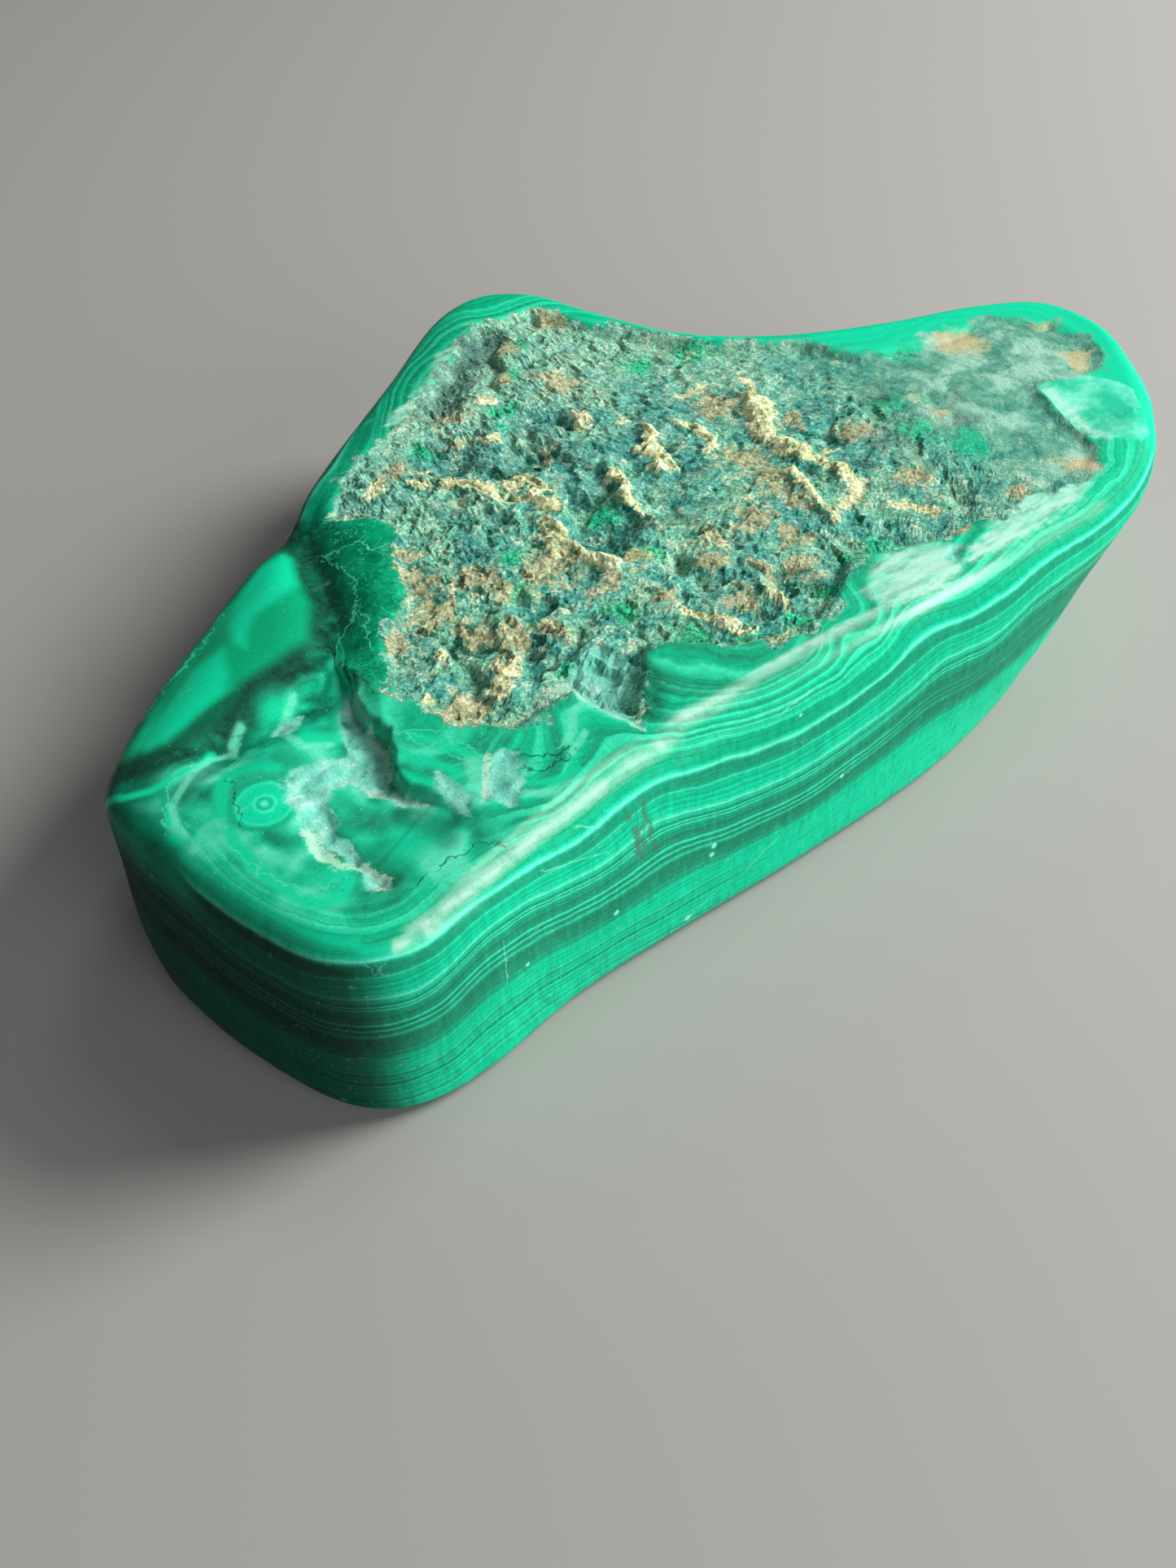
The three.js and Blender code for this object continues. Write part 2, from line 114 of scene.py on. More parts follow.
LEDGE_JAG = (1.3, 0.25, 61)

CRUST_EDGE = (
    (-26.4, 9.3), (-20.0, 15.2), (-11.8, 17.4), (-5.4, 22.8), (-0.8, 25.6), (3.0, 28.2), (9.4, 27.0),
    (13.4, 20.0), (19.5, 11.6), (28.0, 4.6), (30.5, -0.6), (37.3, -2.2), (47.7, -4.2), (51.4, -8.2),
    (51.4, -12.4), (49.9, -16.2), (46.2, -18.0), (42.6, -15.9), (40.0, -15.4), (38.2, -20.2),
    (37.2, -24.4), (35.6, -26.6), (32.0, -28.2), (23.9, -26.9), (16.4, -26.5), (10.8, -24.9),
    (6.7, -23.4), (3.9, -25.3), (0.0, -27.2), (-5.2, -26.8), (-9.4, -24.6), (-13.2, -21.0),
    (-19.5, -26.6), (-21.6, -21.4), (-27.5, -22.2), (-30.9, -18.4), (-32.2, -14.6), (-32.4, -10.8),
    (-31.1, -8.0), (-29.4, -5.6), (-27.3, -4.5), (-25.2, -1.4), (-23.8, 1.4), (-21.7, 4.2),
    (-22.9, 6.3),
)
CRUST_JAG = ((2.1, 1.0, 81), (0.9, 0.55, 83))
CRUST_SOFTNESS = 1.4
CRUST_DEPTH = 0.85
LUMPS = ((6.5, 1.1, 3), (3.4, 0.85, 11))
LUMP_MIDDLE = 0.6
SWELL = (13.0, 0.45, 5)

# What stands above this height is worn down to a share of it
WORN_ABOVE = 0.15
WORN_RATIO = 0.33
# Towards the right lobe, from one x to the other, the crust is worn smooth
WORN_REACH = (18.0, 34.0)
WORN_SHARE = 0.7

# How rough the crust is: the least and the most share of the lumps' height, and places where
# it is rougher
ROUGH_LEAST = 0.4
ROUGH_MOST = 1.2
ROUGH_SPOTS = (
    (-8.0, 5.5, 9.0, 0.8), (-19.0, -14.0, 8.0, 0.35), (-4.0, -19.0, 6.0, 0.3), (14.0, -10.0, 6.0, 0.25),
)

# Pits: x, y, radius, depth
PITS = (
    (0.0, 10.1, 1.6, 1.7), (-2.4, 11.4, 1.3, 1.0), (-5.2, 6.5, 2.2, 2.0), (-12.6, 10.4, 2.9, 1.7),
    (-9.4, 5.8, 1.6, 0.8), (-6.2, -0.9, 1.9, 1.2), (-8.7, -5.8, 2.2, 1.2), (-7.0, -7.9, 1.5, 1.0),
    (-0.6, -4.4, 1.4, 1.0), (-0.6, -7.6, 1.6, 1.1), (-4.2, -12.9, 1.5, 1.1), (-5.0, -17.2, 1.7, 1.1),
    (1.4, -14.2, 1.3, 0.9), (1.5, -20.4, 1.5, 1.1), (2.4, -23.0, 1.4, 0.8), (-3.8, -23.6, 1.2, 0.9),
    (5.9, 0.3, 1.3, 0.9), (-18.0, -11.0, 1.5, 0.9), (-21.0, -14.8, 1.6, 1.0), (-24.4, -11.6, 1.5, 0.8),
    (18.6, -8.6, 1.4, 0.8), (22.0, -21.6, 1.6, 0.8), (31.6, -10.4, 1.8, 0.6),
)

# Ridges: line, height, half width
RIDGES = (
    (((-21.0, 10.8), (-17.8, 7.6), (-15.4, 7.0)), 0.7, 1.6),
    (((-13.8, 5.8), (-13.9, 4.2), (-13.8, 2.0), (-12.6, -0.4)), 1.1, 1.1),
    (((-11.9, 4.2), (-10.2, 3.0), (-8.7, 1.6), (-9.3, -2.4)), 1.0, 1.1),
    (((-9.3, -2.2), (-11.3, -4.4), (-12.1, -7.4), (-9.8, -10.2)), 1.2, 1.2),
    (((-1.2, -0.2), (-2.2, -3.7), (-3.2, -8.2)), 1.3, 1.1),
    (((5.4, 2.9), (3.5, 0.9), (3.6, -1.2), (1.8, -2.0)), 0.8, 0.9),
    (((8.2, 2.8), (10.2, 1.4), (9.3, -1.6)), 0.6, 1.1),
    (((17.5, 1.0), (15.5, -2.5), (13.9, -6.5), (14.5, -9.2), (15.6, -13.6)), 0.8, 1.1),
    (((12.0, -11.0), (11.2, -14.7), (10.5, -18.0)), 0.7, 1.0),
    (((-6.2, -22.4), (-5.6, -24.4), (-2.2, -25.2)), 0.7, 1.0),
    (((-1.6, -21.2), (-0.4, -23.0), (1.2, -22.4)), 0.8, 1.0),
    (((-19.0, -15.6), (-18.0, -13.2)), 0.6, 1.3),
    (((-24.4, -16.0), (-22.4, -14.8)), 0.6, 1.1),
    (((-27.2, -17.6), (-25.4, -17.8)), 0.8, 1.1),
    (((-27.0, -11.0), (-28.4, -13.2)), 0.6, 1.0),
    (((-20.6, -5.2), (-18.4, -6.6)), 0.4, 1.6),
    (((3.4, 15.6), (4.6, 17.2)), 0.4, 1.5),
    (((-0.8, -19.4), (0.8, -18.8)), 0.5, 1.0),
)

# Gullies: line, depth, half width
GULLIES = (
    (((2.3, 26.6), (0.1, 24.3), (-4.5, 21.7), (-8.8, 17.8)), 1.0, 1.9),
    (((2.4, 24.1), (0.3, 21.4), (-1.9, 18.5)), 0.9, 0.9),
    (((-26.0, -10.2), (-26.4, -13.4), (-27.8, -16.8)), 1.0, 1.0),
    (((-22.6, -17.2), (-19.4, -16.8), (-14.8, -15.0)), 0.8, 0.9),
)

# Low swells of the polished parts: x, y, radius, height
SWELLS = (
    (-46.0, -17.2, 5.0, 0.35), (-47.5, -26.0, 4.5, 0.3), (-39.8, -27.0, 4.0, 0.2),
    (43.5, -19.5, 5.0, 0.3),
)

# How matt the walls and the left facet are, as a share
WALL_DULL = 0.9
PILLOW_DULL = 0.6
MATT_SOFTNESS = 1.5
# Worn places of the rim that don't shine: x, y, radius
DULL_SPOTS = ((-19.9, -29.4, 1.8),)

# Fades of the finish: where each begins and where it is whole. Down from the top, the fades of
# the top's markings, the front wall's, the rim, the matt wall, the painted shade of the dark end,
# and the plain end:
TOP_DROP = (5.0, 2.0)
WALL_DROP = (0.3, 0.9)
RIM_DROP = (0.5, 0.2)
MATT_WALL_DROP = (0.5, 1.3)
DARK_DROP = (0.4, 2.0)
PLAIN_DROP = (4.5, 1.5)
# Along x:
RIGHT_PART = (-2, 12)
CALM_PART = (-22, -8)
MATT_RIGHT = (6, 20)
MATT_LOBE = (20, 32)
DARK_END = (-43.5, -50.0)
BACK_RIM_RIGHT = (8, 0)
LOBE_END = (35, 41)
WAIST_RIGHT = (8, 16)
# Along y:
FRONT = (-20, -24)
BACK_PART = (-4, 20)
FAR_RIM = (-5, 8)
DARK_SIDE = (1, -8)
BACK_RIM = (4, 18)
WAIST_BACK = (-6, 2)
# From the groove's line:
MATT_GROOVE = (5.5, 2.5)

# How much painted shade darkens the back corner's rim, how plain the waist is, and how the
# lobe's plain end slants
BACK_RIM_PAINTED_SHADE = 0.4
WAIST_PLAIN = 0.7
LOBE_SLANT = 0.4
LOBE_MIDDLE = -20
# How much of a gully's half width is darkened with painted shade
GULLY_DARK = 0.4

# How far the crust's ridges, pits and patches wander: spacing, distance, seed
WANDER = ((2.3, 0.8, 63), (0.9, 0.4, 67))

# Fine relief of the crust: broken blocks turned a little from the axes, rounded grains, and
# crumbs on the ridges. The blocks are stronger in some places than in others.
CHUNK_TILT = 1.8
BLOCK_TURN = 0.6
BLOCKS = ((2.8, 0.4, 41), (1.3, 0.28, 43), (0.8, 0.2, 47))
GRAINS = (0.8, 0.08, 37)
CRUMBS = (1.1, 0.45, 51)
RIDGE_REACH = 1.3
FINE_PATCHES = (4.0, 0.45, 77)
FINE_LEAST = 0.3
FINE_LIMITS = (0.25, 1.4)
FINE_WORN_ABOVE = 0.15
FINE_WORN_RATIO = 0.4
FINE_WORN_SHARE = 0.88
FINE_SINK = 0.12
# Over how much depth inside its edge the crust's fine relief rises
CRUST_RISE = 0.9
# How far the crust's points are moved sideways
JITTER = 0.12
JITTER_FINENESS = 4.1
JITTER_SEEDS = (17, 19)

# Relief of the broken patches' skin
CHIPS = (2.4, 0.28, 91)
CHIP_GRAIN = (0.8, 0.16, 93)
CHIP_SINK = 0.26
CHIP_RISE = (-0.2, 0.8)

# Faces deeper inside the crust's edge than this are flat, where they are higher than TOP_LEAST
FACETS_FROM = 0.3
TOP_LEAST = 10
# Depth in the crust and distance from a marking, where neither is near
OFF_TOP = -5.0
OUT_OF_REACH = 9

# Height of four growth layers along the front side: x and height of each. LAYER_MARKS gives
# the depth in the banding, counted up from the base, that each of these layers has.
LAYER_MARKS = (5.5, 10.7, 14.5, 18.0)
LAYER_PATHS = (
    ((-60, 5.0), (-47, 5.4), (-43, 6.0), (-39, 7.4), (-35, 7.0), (-30, 5.7), (-24, 5.1), (-14, 4.5),
     (-6, 4.4), (2, 4.9), (8, 5.6), (14, 5.4), (22, 6.0), (34, 6.4), (60, 6.0)),
    ((-60, 11.2), (-47, 11.7), (-43, 12.2), (-39, 13.4), (-35, 12.9), (-31, 11.5), (-27, 10.7),
     (-20, 10.6), (-16, 9.5), (-10, 8.7), (-3, 8.6), (3, 9.5), (8, 10.9), (14, 10.2), (22, 11.2),
     (34, 12.0), (60, 11.4)),
    ((-60, 15.0), (-47, 15.3), (-43, 15.5), (-39, 16.9), (-35, 16.6), (-32, 15.3), (-28, 14.2),
     (-21, 14.7), (-18, 13.6), (-13, 12.3), (-6, 11.7), (0, 12.2), (5, 13.5), (8, 14.8), (15, 14.0),
     (21, 15.9), (34, 16.8), (60, 16.0)),
    ((-60, 19.0), (-47, 19.2), (-43, 19.2), (-39, 19.6), (-34, 19.1), (-29, 18.3), (-22, 18.6),
     (-17, 17.2), (-12, 16.2), (-6, 15.8), (-1, 16.1), (2, 17.1), (5, 18.5), (12, 18.2), (20, 18.9),
     (32, 19.2), (60, 19.0)),
)

# Nodules that the top cuts through: x, y, radius, height of the layers over them
NODULES = (
    (-46.1, -17.1, 4.6, 1.6), (-0.8, -29.2, 2.4, 1.4), (44.0, -19.5, 6.0, -1.5),
    (-52.0, -12.0, 3.0, -1.0), (-3.0, 29.0, 6.0, 1.2), (38.0, 0.0, 7.0, 1.2),
)
LAYER_LIFT = 0.6
# How the layers go on under the lowest path and over the highest
LAYER_LEAST = -0.6
LAYERS_UNDER = 3.3
LAYERS_OVER = 9.0
# Between these heights the layers turn from those of the walls to the rings of the top
LAYERS_TURN = (8, 17)
LAYER_FALL = 0.6
LAYER_FALL_REACH = 8.0
# Behind the front side the layers wave, from one y to the other
BACK_FROM = (-30, -18)
BACK_WAVES = ((21.0, 2.6, 53), (8.0, 0.8, 59))

# Broken patches with a matt skin
BREAK_JAG = ((1.1, 0.35, 87), (0.5, 0.2, 89))
BREAKS = (
    ((-34.9, -9.3), (-35.2, -12.1), (-35.9, -14.4), (-36.0, -16.9), (-36.9, -18.7), (-37.8, -20.7),
     (-39.2, -19.3), (-39.7, -17.9), (-41.0, -17.9), (-42.4, -19.2), (-43.0, -23.3), (-43.2, -26.4),
     (-43.7, -25.0), (-44.5, -21.7), (-44.7, -18.0), (-44.3, -15.9), (-42.3, -15.5), (-40.8, -15.2),
     (-39.6, -15.4), (-38.3, -16.1), (-37.9, -13.7), (-37.2, -11.9), (-35.8, -10.8)),
    ((-43.6, -26.3), (-42.9, -26.4), (-42.7, -28.0), (-42.9, -28.9), (-43.9, -27.7)),
    ((-39.5, -19.1), (-38.4, -20.1), (-37.2, -21.9), (-36.5, -23.4), (-37.4, -22.7), (-38.8, -20.6)),
    ((-34.6, -22.1), (-35.2, -23.3), (-35.7, -25.3), (-34.9, -27.1), (-34.3, -25.2), (-34.3, -23.0)),
    ((-30.6, -22.8), (-29.1, -23.2), (-28.4, -24.0), (-30.1, -26.4), (-31.3, -27.8), (-32.0, -28.0),
     (-32.6, -26.7), (-33.3, -26.0), (-32.3, -24.6), (-31.2, -23.5)),
    ((-38.8, -9.4), (-40.9, -9.3), (-42.2, -10.3), (-41.1, -10.7), (-40.2, -10.8)),
    ((-17.8, -17.8), (-16.4, -18.3), (-16.1, -20.0), (-15.9, -21.4), (-17.7, -23.2), (-19.1, -24.2),
     (-20.0, -25.7), (-19.7, -28.0), (-20.5, -26.1), (-21.4, -24.3), (-21.4, -22.8), (-21.6, -20.7),
     (-21.4, -19.2), (-19.8, -18.4)),
    ((13.8, -27.2), (15.2, -27.6), (13.7, -29.5), (12.7, -28.8)),
)

# Pale lips along the broken patches, crushed edges with painted light on their steep faces,
# with their half widths
LIPS = (
    (((-44.6, -21.0), (-45.0, -22.9), (-44.5, -24.9), (-43.2, -25.9)), 0.55),
    (((-43.0, -26.4), (-42.7, -28.0), (-43.3, -28.4)), 0.35),
    (((-39.4, -19.2), (-38.7, -20.2), (-37.6, -22.0), (-36.6, -23.5)), 0.22),
    (((-21.5, -20.4), (-21.4, -23.2), (-20.5, -25.8), (-19.8, -28.2)), 0.22),
    (((-35.9, -14.3), (-36.1, -17.0), (-37.2, -19.4)), 0.25),
    (((-30.8, -22.9), (-32.2, -24.7), (-33.2, -26.1)), 0.3),
    (((-24.5, -20.6), (-22.6, -19.6), (-20.8, -19.4)), 0.35),
)

# Parts of the polished top where the bands give way to softer colours: the left facet and its
# tip, the veined part beside the crust, the misty ledge, and the nodules of the left facet
PILLOW = (
    ((-28.0, 11.6), (-30.6, 5.6), (-31.0, 0.6), (-35.6, -4.6), (-43.0, -7.2), (-50.0, -8.2),
     (-55.5, -8.6), (-58.0, -6.0), (-48.0, 5.0), (-38.0, 11.0), (-30.0, 16.0)),
    # The facet's tip ring is deep green, partly painted shade where its rim turns away from the light
    ((-49.0, -8.2), (-51.8, -7.6), (-56.5, -6.5), (-57.5, -12.0), (-56.0, -17.8), (-53.4, -20.5),
     (-52.6, -16.5), (-51.8, -13.2), (-50.6, -10.8)),
)
VEINED = (
    ((-28.2, 10.8), (-24.4, 10.4), (-21.0, 7.0), (-21.0, 3.6), (-22.6, -1.0), (-26.6, -5.4),
     (-30.0, -9.4), (-32.8, -12.6), (-34.0, -10.0), (-33.0, -6.2), (-31.0, -2.0), (-30.0, 4.2)),
)
MISTY = (
    ((-52.4, -11.0), (-44.0, -8.0), (-36.4, -6.6), (-34.6, -11.0), (-36.0, -18.0), (-34.8, -24.0),
     (-32.6, -29.4), (-39.0, -30.6), (-46.0, -29.8), (-49.4, -25.0), (-51.6, -17.5)),
)
LOBES = (
    ((-30.8, 8.1), (-30.5, 7.2), (-32.0, 3.5), (-34.4, 2.2), (-36.7, 1.7), (-38.3, 0.2), (-39.2, -1.3),
     (-39.7, -0.4), (-39.0, 2.3), (-37.2, 4.4), (-33.6, 7.4)),
    ((-40.6, -0.2), (-41.2, -1.6), (-41.8, -3.5), (-43.0, -4.8), (-45.7, -5.6), (-48.7, -6.8),
     (-50.2, -6.6), (-50.6, -5.5), (-49.5, -4.2), (-46.8, -2.8), (-43.6, -0.4)),
    ((-39.4, -11.0), (-40.9, -11.7), (-40.8, -13.1), (-39.7, -13.4), (-38.8, -13.7), (-36.7, -14.3),
     (-38.9, -12.3)),
)
HALF_LOBES = (
    ((-32.0, 3.5), (-32.7, 0.9), (-35.5, -2.4), (-37.8, -3.6), (-38.5, -2.5), (-39.2, -1.3),
     (-37.6, 1.1), (-34.9, 2.4)),
    ((-30.4, 8.6), (-30.2, 5.0), (-31.2, 1.6), (-34.0, -3.0), (-38.5, -4.4), (-43.0, -6.0),
     (-50.8, -7.4), (-51.8, -5.6), (-46.8, -1.6), (-38.6, 4.6)),
)

# Bright places of the polished top: x, y, radius, then lines and their half widths
BRIGHT_SPOTS = ((-39.9, -26.2, 1.9), (-40.2, -8.0, 1.3), (-45.0, -25.4, 1.3))
BRIGHT_LINES = (
    (((-48.7, -15.9), (-47.8, -13.9), (-46.3, -12.9), (-44.9, -13.0), (-43.7, -14.2)), 0.45),
    (((-49.2, -18.0), (-49.4, -19.6), (-49.1, -22.1), (-48.6, -24.5), (-48.0, -26.2), (-47.2, -27.2),
     (-45.9, -27.4), (-44.8, -26.7), (-44.5, -25.4)), 0.4),
    (((-54.9, -8.7), (-53.5, -10.1), (-51.8, -10.8), (-49.6, -10.6), (-47.6, -10.2), (-46.5, -9.3)),
     0.28),
    (((-51.4, -12.9), (-52.2, -14.7), (-52.4, -17.5), (-52.0, -20.7), (-51.2, -23.6), (-50.0, -26.6),
     (-48.7, -29.2), (-46.6, -31.7), (-44.1, -32.8)), 0.22),
    (((-34.0, -17.6), (-33.0, -19.2), (-32.1, -21.0), (-31.4, -22.6)), 0.4),
    (((-35.7, -18.3), (-35.3, -19.4), (-34.0, -21.6), (-33.4, -22.8)), 0.4),
    (((-36.7, -20.3), (-36.2, -21.5), (-35.5, -22.5)), 0.35),
    (((-30.0, -26.7), (-29.0, -27.4), (-27.8, -27.9), (-26.3, -27.9)), 0.3),
)

# Dark soft lines: painted shade along the groove, at the foot of the ledge and in the dip beside
# the spike, and dark arcs of the stone's colour. Each gives the line, its half width and its
# strength, and fades between two multiples of its half width.
SHADE_REACH = (2.6, 0.7)
SHADES = (
    (((-28.0, 11.6), (-29.4, 7.6), (-30.4, 4.0), (-30.9, 0.4), (-33.7, -4.1), (-36.0, -4.9),
     (-38.5, -5.5), (-40.9, -6.0), (-43.0, -7.3), (-45.6, -8.3), (-48.4, -8.4), (-51.3, -7.8),
     (-53.9, -7.0)), 0.8, 1.0),
    (((-41.7, -5.7), (-44.2, -6.1), (-46.8, -6.9), (-49.0, -7.1)), 0.4, 0.8),
    (((-40.1, -22.8), (-38.5, -23.2), (-37.7, -24.7), (-37.2, -26.2), (-37.5, -27.5)), 0.6, 0.5),
    (((-43.8, -8.9), (-45.6, -10.6), (-47.6, -11.2), (-50.4, -12.6)), 0.5, 0.6),
    (((-16.2, -23.0), (-18.2, -25.6)), 0.9, 0.8),
    (((-33.9, -9.6), (-34.2, -12.6), (-35.2, -14.6)), 0.25, 0.5),
    (((-28.4, 9.8), (-29.4, 5.4), (-30.5, 1.0), (-31.8, -2.4)), 0.9, 1.0),
)
# Milky patches, pale polish with painted sheen where flat parts of the rim reflect the light,
# and the glassy facet of the right lobe
MILK_AND_SHEEN = (
    ((3.6, -27.3), (6.9, -25.2), (10.0, -24.4), (13.2, -25.2), (14.9, -27.0), (12.9, -28.3),
     (13.5, -29.8), (11.4, -30.2), (8.4, -30.0), (5.1, -29.5)),
    ((15.8, -28.4), (19.3, -27.3), (23.0, -25.8), (26.7, -25.8), (30.4, -26.9), (32.0, -28.8),
     (28.7, -29.9), (23.7, -30.1), (19.4, -29.9), (13.6, -29.6)),
    ((39.7, -15.6), (38.4, -20.3), (37.6, -22.8), (37.4, -24.6), (38.6, -25.4), (39.4, -22.6),
     (40.4, -19.6), (41.0, -16.6)),
    ((-14.3, 18.0), (-10.2, 20.5), (-6.1, 22.5), (-4.0, 24.9), (-0.6, 26.5), (2.5, 28.2), (0.1, 26.3),
     (-3.1, 23.7), (-6.1, 21.5), (-8.9, 19.3), (-11.8, 17.5), (-14.1, 17.4)),
)
LOBE_FACET = (
    ((39.7, -15.6), (42.1, -15.8), (45.0, -17.2), (46.5, -19.6), (46.9, -21.6), (42.8, -26.8),
     (40.7, -27.5), (38.8, -25.6), (37.4, -24.5), (37.6, -22.8), (38.4, -20.3)),
)
BULLSEYE = (-46.0, -17.1)

# Thin pale lines and thin dark cracks of the polished top
THIN_LINES = (
    ((-38.5, 4.4), (-42.0, 1.6), (-45.4, 0.0), (-48.6, -2.1)),
    ((-27.9, 5.9), (-26.7, 4.8), (-25.1, 4.8), (-24.9, 2.9), (-23.7, 2.6)),
    ((-28.5, 5.0), (-27.9, 3.6), (-27.7, 2.3), (-27.9, 1.1), (-28.7, -0.5), (-29.6, -2.2),
     (-29.7, -4.0), (-30.7, -5.7), (-31.3, -7.3)),
    ((-29.6, -2.2), (-31.0, -3.4), (-32.4, -4.0), (-33.5, -5.6), (-34.1, -7.5)),
    ((-45.9, -11.7), (-44.2, -8.8), (-43.7, -8.4)),
    ((-34.9, -16.5), (-33.5, -17.3), (-32.3, -18.8), (-31.6, -20.8), (-31.2, -22.3), (-30.7, -23.0)),
    ((-34.3, -17.3), (-33.9, -19.3), (-33.3, -20.0), (-32.3, -22.1), (-31.4, -23.6)),
    ((-22.0, -22.8), (-22.8, -22.9), (-23.7, -23.8), (-24.4, -24.7), (-25.3, -25.2), (-26.2, -25.4)),
    ((-49.7, -19.4), (-48.4, -24.2), (-47.7, -25.5), (-46.6, -26.3), (-45.5, -26.1)),
    ((-47.5, -10.2), (-49.6, -10.8), (-51.0, -11.5), (-52.4, -14.6)),
    ((-26.6, -18.6), (-28.6, -19.2), (-30.0, -20.8)),
)
CRACKS = (
    ((-27.7, 10.5), (-27.7, 8.7), (-28.3, 6.3), (-28.9, 4.1)),
    ((-33.6, -4.3), (-33.8, -6.6), (-34.0, -9.5), (-33.6, -12.1)),
    ((-47.0, -13.4), (-47.4, -15.6), (-48.2, -17.8)),
    ((-29.1, -23.7), (-28.5, -24.4), (-27.8, -25.1), (-26.6, -25.7), (-25.4, -26.0)),
    ((-29.4, -25.5), (-28.6, -26.3), (-27.3, -26.6), (-25.9, -26.5), (-25.0, -26.1)),
    ((-41.9, -29.5), (-40.0, -29.5), (-37.8, -29.4), (-36.1, -29.3), (-34.3, -30.5)),
)

# Painted sheen along the front rim, a painted reflection of the light on the polish: the line and
# its half width
PAINTED_RIM_SHEEN = (
    (((-44.9, -32.5), (-41.9, -32.4)), 0.2),
    (((-42.4, -32.4), (-38.6, -31.9), (-35.1, -31.3)), 0.42),
    (((-35.6, -31.4), (-31.6, -30.8), (-27.9, -30.1), (-24.0, -29.7)), 0.32),
    (((-24.4, -29.7), (-20.2, -29.3), (-16.3, -28.9), (-11.6, -28.6), (-6.9, -28.6), (-0.4, -28.8),
     (5.2, -29.4)), 0.36),
)

# Pale soft lines of the polished top: the line and its half width
PALE_LINES = (
    (((-32.0, -22.9), (-32.7, -24.3), (-33.5, -25.8)), 0.6),
    (((-22.0, -22.8), (-22.8, -22.9), (-23.7, -23.8), (-24.4, -24.7), (-25.3, -25.2)), 0.3),
    (((-23.6, -25.3), (-24.5, -25.8), (-25.7, -26.3)), 0.25),
    (((-30.6, -27.4), (-29.6, -28.3), (-28.3, -28.6), (-26.5, -28.7)), 0.3),
    (((-45.2, -10.0), (-46.7, -9.8), (-48.8, -11.1), (-51.2, -13.0), (-51.8, -15.0), (-51.7, -17.7)),
     0.25),
    (((-43.4, -8.0), (-44.7, -9.1), (-45.2, -10.4)), 0.3),
    (((-38.4, -7.2), (-41.3, -10.0), (-40.8, -13.1), (-39.0, -13.8)), 0.3),
)

# Marks of the front wall, as x and height: dark cracks, pale scratches and small pale nicks
WALL_CRACKS = (
    ((-24.4, 18.0), (-24.2, 16.4), (-23.7, 15.2), (-23.9, 14.0), (-23.5, 12.6)),
    ((-22.8, 17.9), (-22.9, 16.6), (-22.3, 15.4), (-22.6, 14.2), (-22.1, 12.8)),
)
SCRATCHES = (
    ((-12.4, 4.2), (-9.0, 6.0)), ((-32.6, 18.4), (-26.8, 15.8)), ((-19.2, 1.9), (-16.2, 3.2)),
    ((-28.8, 19.6), (-27.4, 18.6)), ((-37.2, 15.0), (-37.5, 10.4)), ((-46.9, 18.6), (-46.2, 19.3)),
    ((-46.3, 18.5), (-46.8, 19.4)), ((-9.0, 19.0), (-6.2, 19.4)),
)
NICKS = (
    (-26.5, 8.8, 0.35), (-16.3, 9.2, 0.3), (-16.6, 8.3, 0.35), (-2.5, 8.7, 0.3), (-19.0, 2.0, 0.35),
    (-35.4, 10.6, 0.3), (-7.4, 18.0, 0.25),
)

# Tan, green, blue and dusky grey patches of the crust: x, y, radius
TAN = (
    (2.8, 22.9, 1.6), (-0.4, 18.4, 1.1), (4.2, 14.9, 2.1), (-9.9, 11.8, 1.2), (-8.7, 16.5, 1.8),
    (-16.8, 12.0, 1.6), (-14.8, 5.6, 1.2), (-4.3, 6.5, 1.0), (9.4, 24.3, 1.6), (10.2, -5.8, 2.6),
    (10.0, -10.0, 2.4), (9.6, -13.8, 1.5), (5.0, -12.7, 1.8), (0.3, -12.6, 1.6), (5.9, -16.8, 1.5),
    (0.6, -18.8, 1.3), (-2.2, -15.2, 1.5), (14.0, 2.4, 2.4), (17.9, -3.6, 1.6), (-23.6, -2.4, 2.2),
    (-19.8, -5.4, 1.9), (-19.0, -8.0, 1.3), (-25.0, -6.6, 2.2), (-28.8, -7.3, 1.8), (-23.4, -9.8, 1.6),
    (-21.3, -12.7, 1.8), (-18.3, -14.2, 1.2), (-23.5, -15.2, 1.4), (-29.0, -16.8, 1.9),
    (-28.2, -20.4, 1.5), (-22.8, 1.0, 1.6), (-14.6, -8.0, 2.4), (-7.5, -11.0, 1.7), (-11.7, -12.1, 1.7),
    (3.4, -20.9, 1.4), (-8.2, -16.4, 1.4), (-3.9, -20.8, 1.4), (-6.1, -26.1, 1.2), (41.0, -4.6, 3.4),
    (49.9, -7.2, 1.8), (47.4, -14.4, 2.0), (33.3, -26.2, 2.2), (25.6, -25.3, 1.6), (17.3, -26.0, 1.3),
    (21.0, -9.6, 1.7), (29.3, -12.9, 1.5), (20.4, -18.0, 1.5),
)
GREEN = (
    (4.4, 22.5, 1.4), (1.2, 18.4, 1.4), (-3.5, 13.7, 1.4), (-4.9, 10.9, 1.2), (-13.2, 13.0, 1.3),
    (-5.3, -4.2, 1.7), (-6.3, -10.6, 1.6), (-17.6, -8.4, 1.2), (-15.9, -4.8, 1.6), (-18.4, -12.1, 1.0),
    (-25.7, -8.2, 0.9), (-12.4, -16.0, 1.8), (12.4, 12.6, 2.2), (18.3, 11.0, 2.2), (26.3, -7.8, 2.0),
    (25.0, -13.5, 2.0), (27.6, -18.0, 2.4), (35.2, -1.6, 2.2), (10.5, -22.8, 2.0), (-10.5, -22.2, 2.0),
    (-6.5, -25.0, 1.7), (-1.5, -26.0, 1.6), (3.5, -24.6, 1.6), (7.5, -22.6, 1.5), (-19.6, -18.4, 1.2),
)
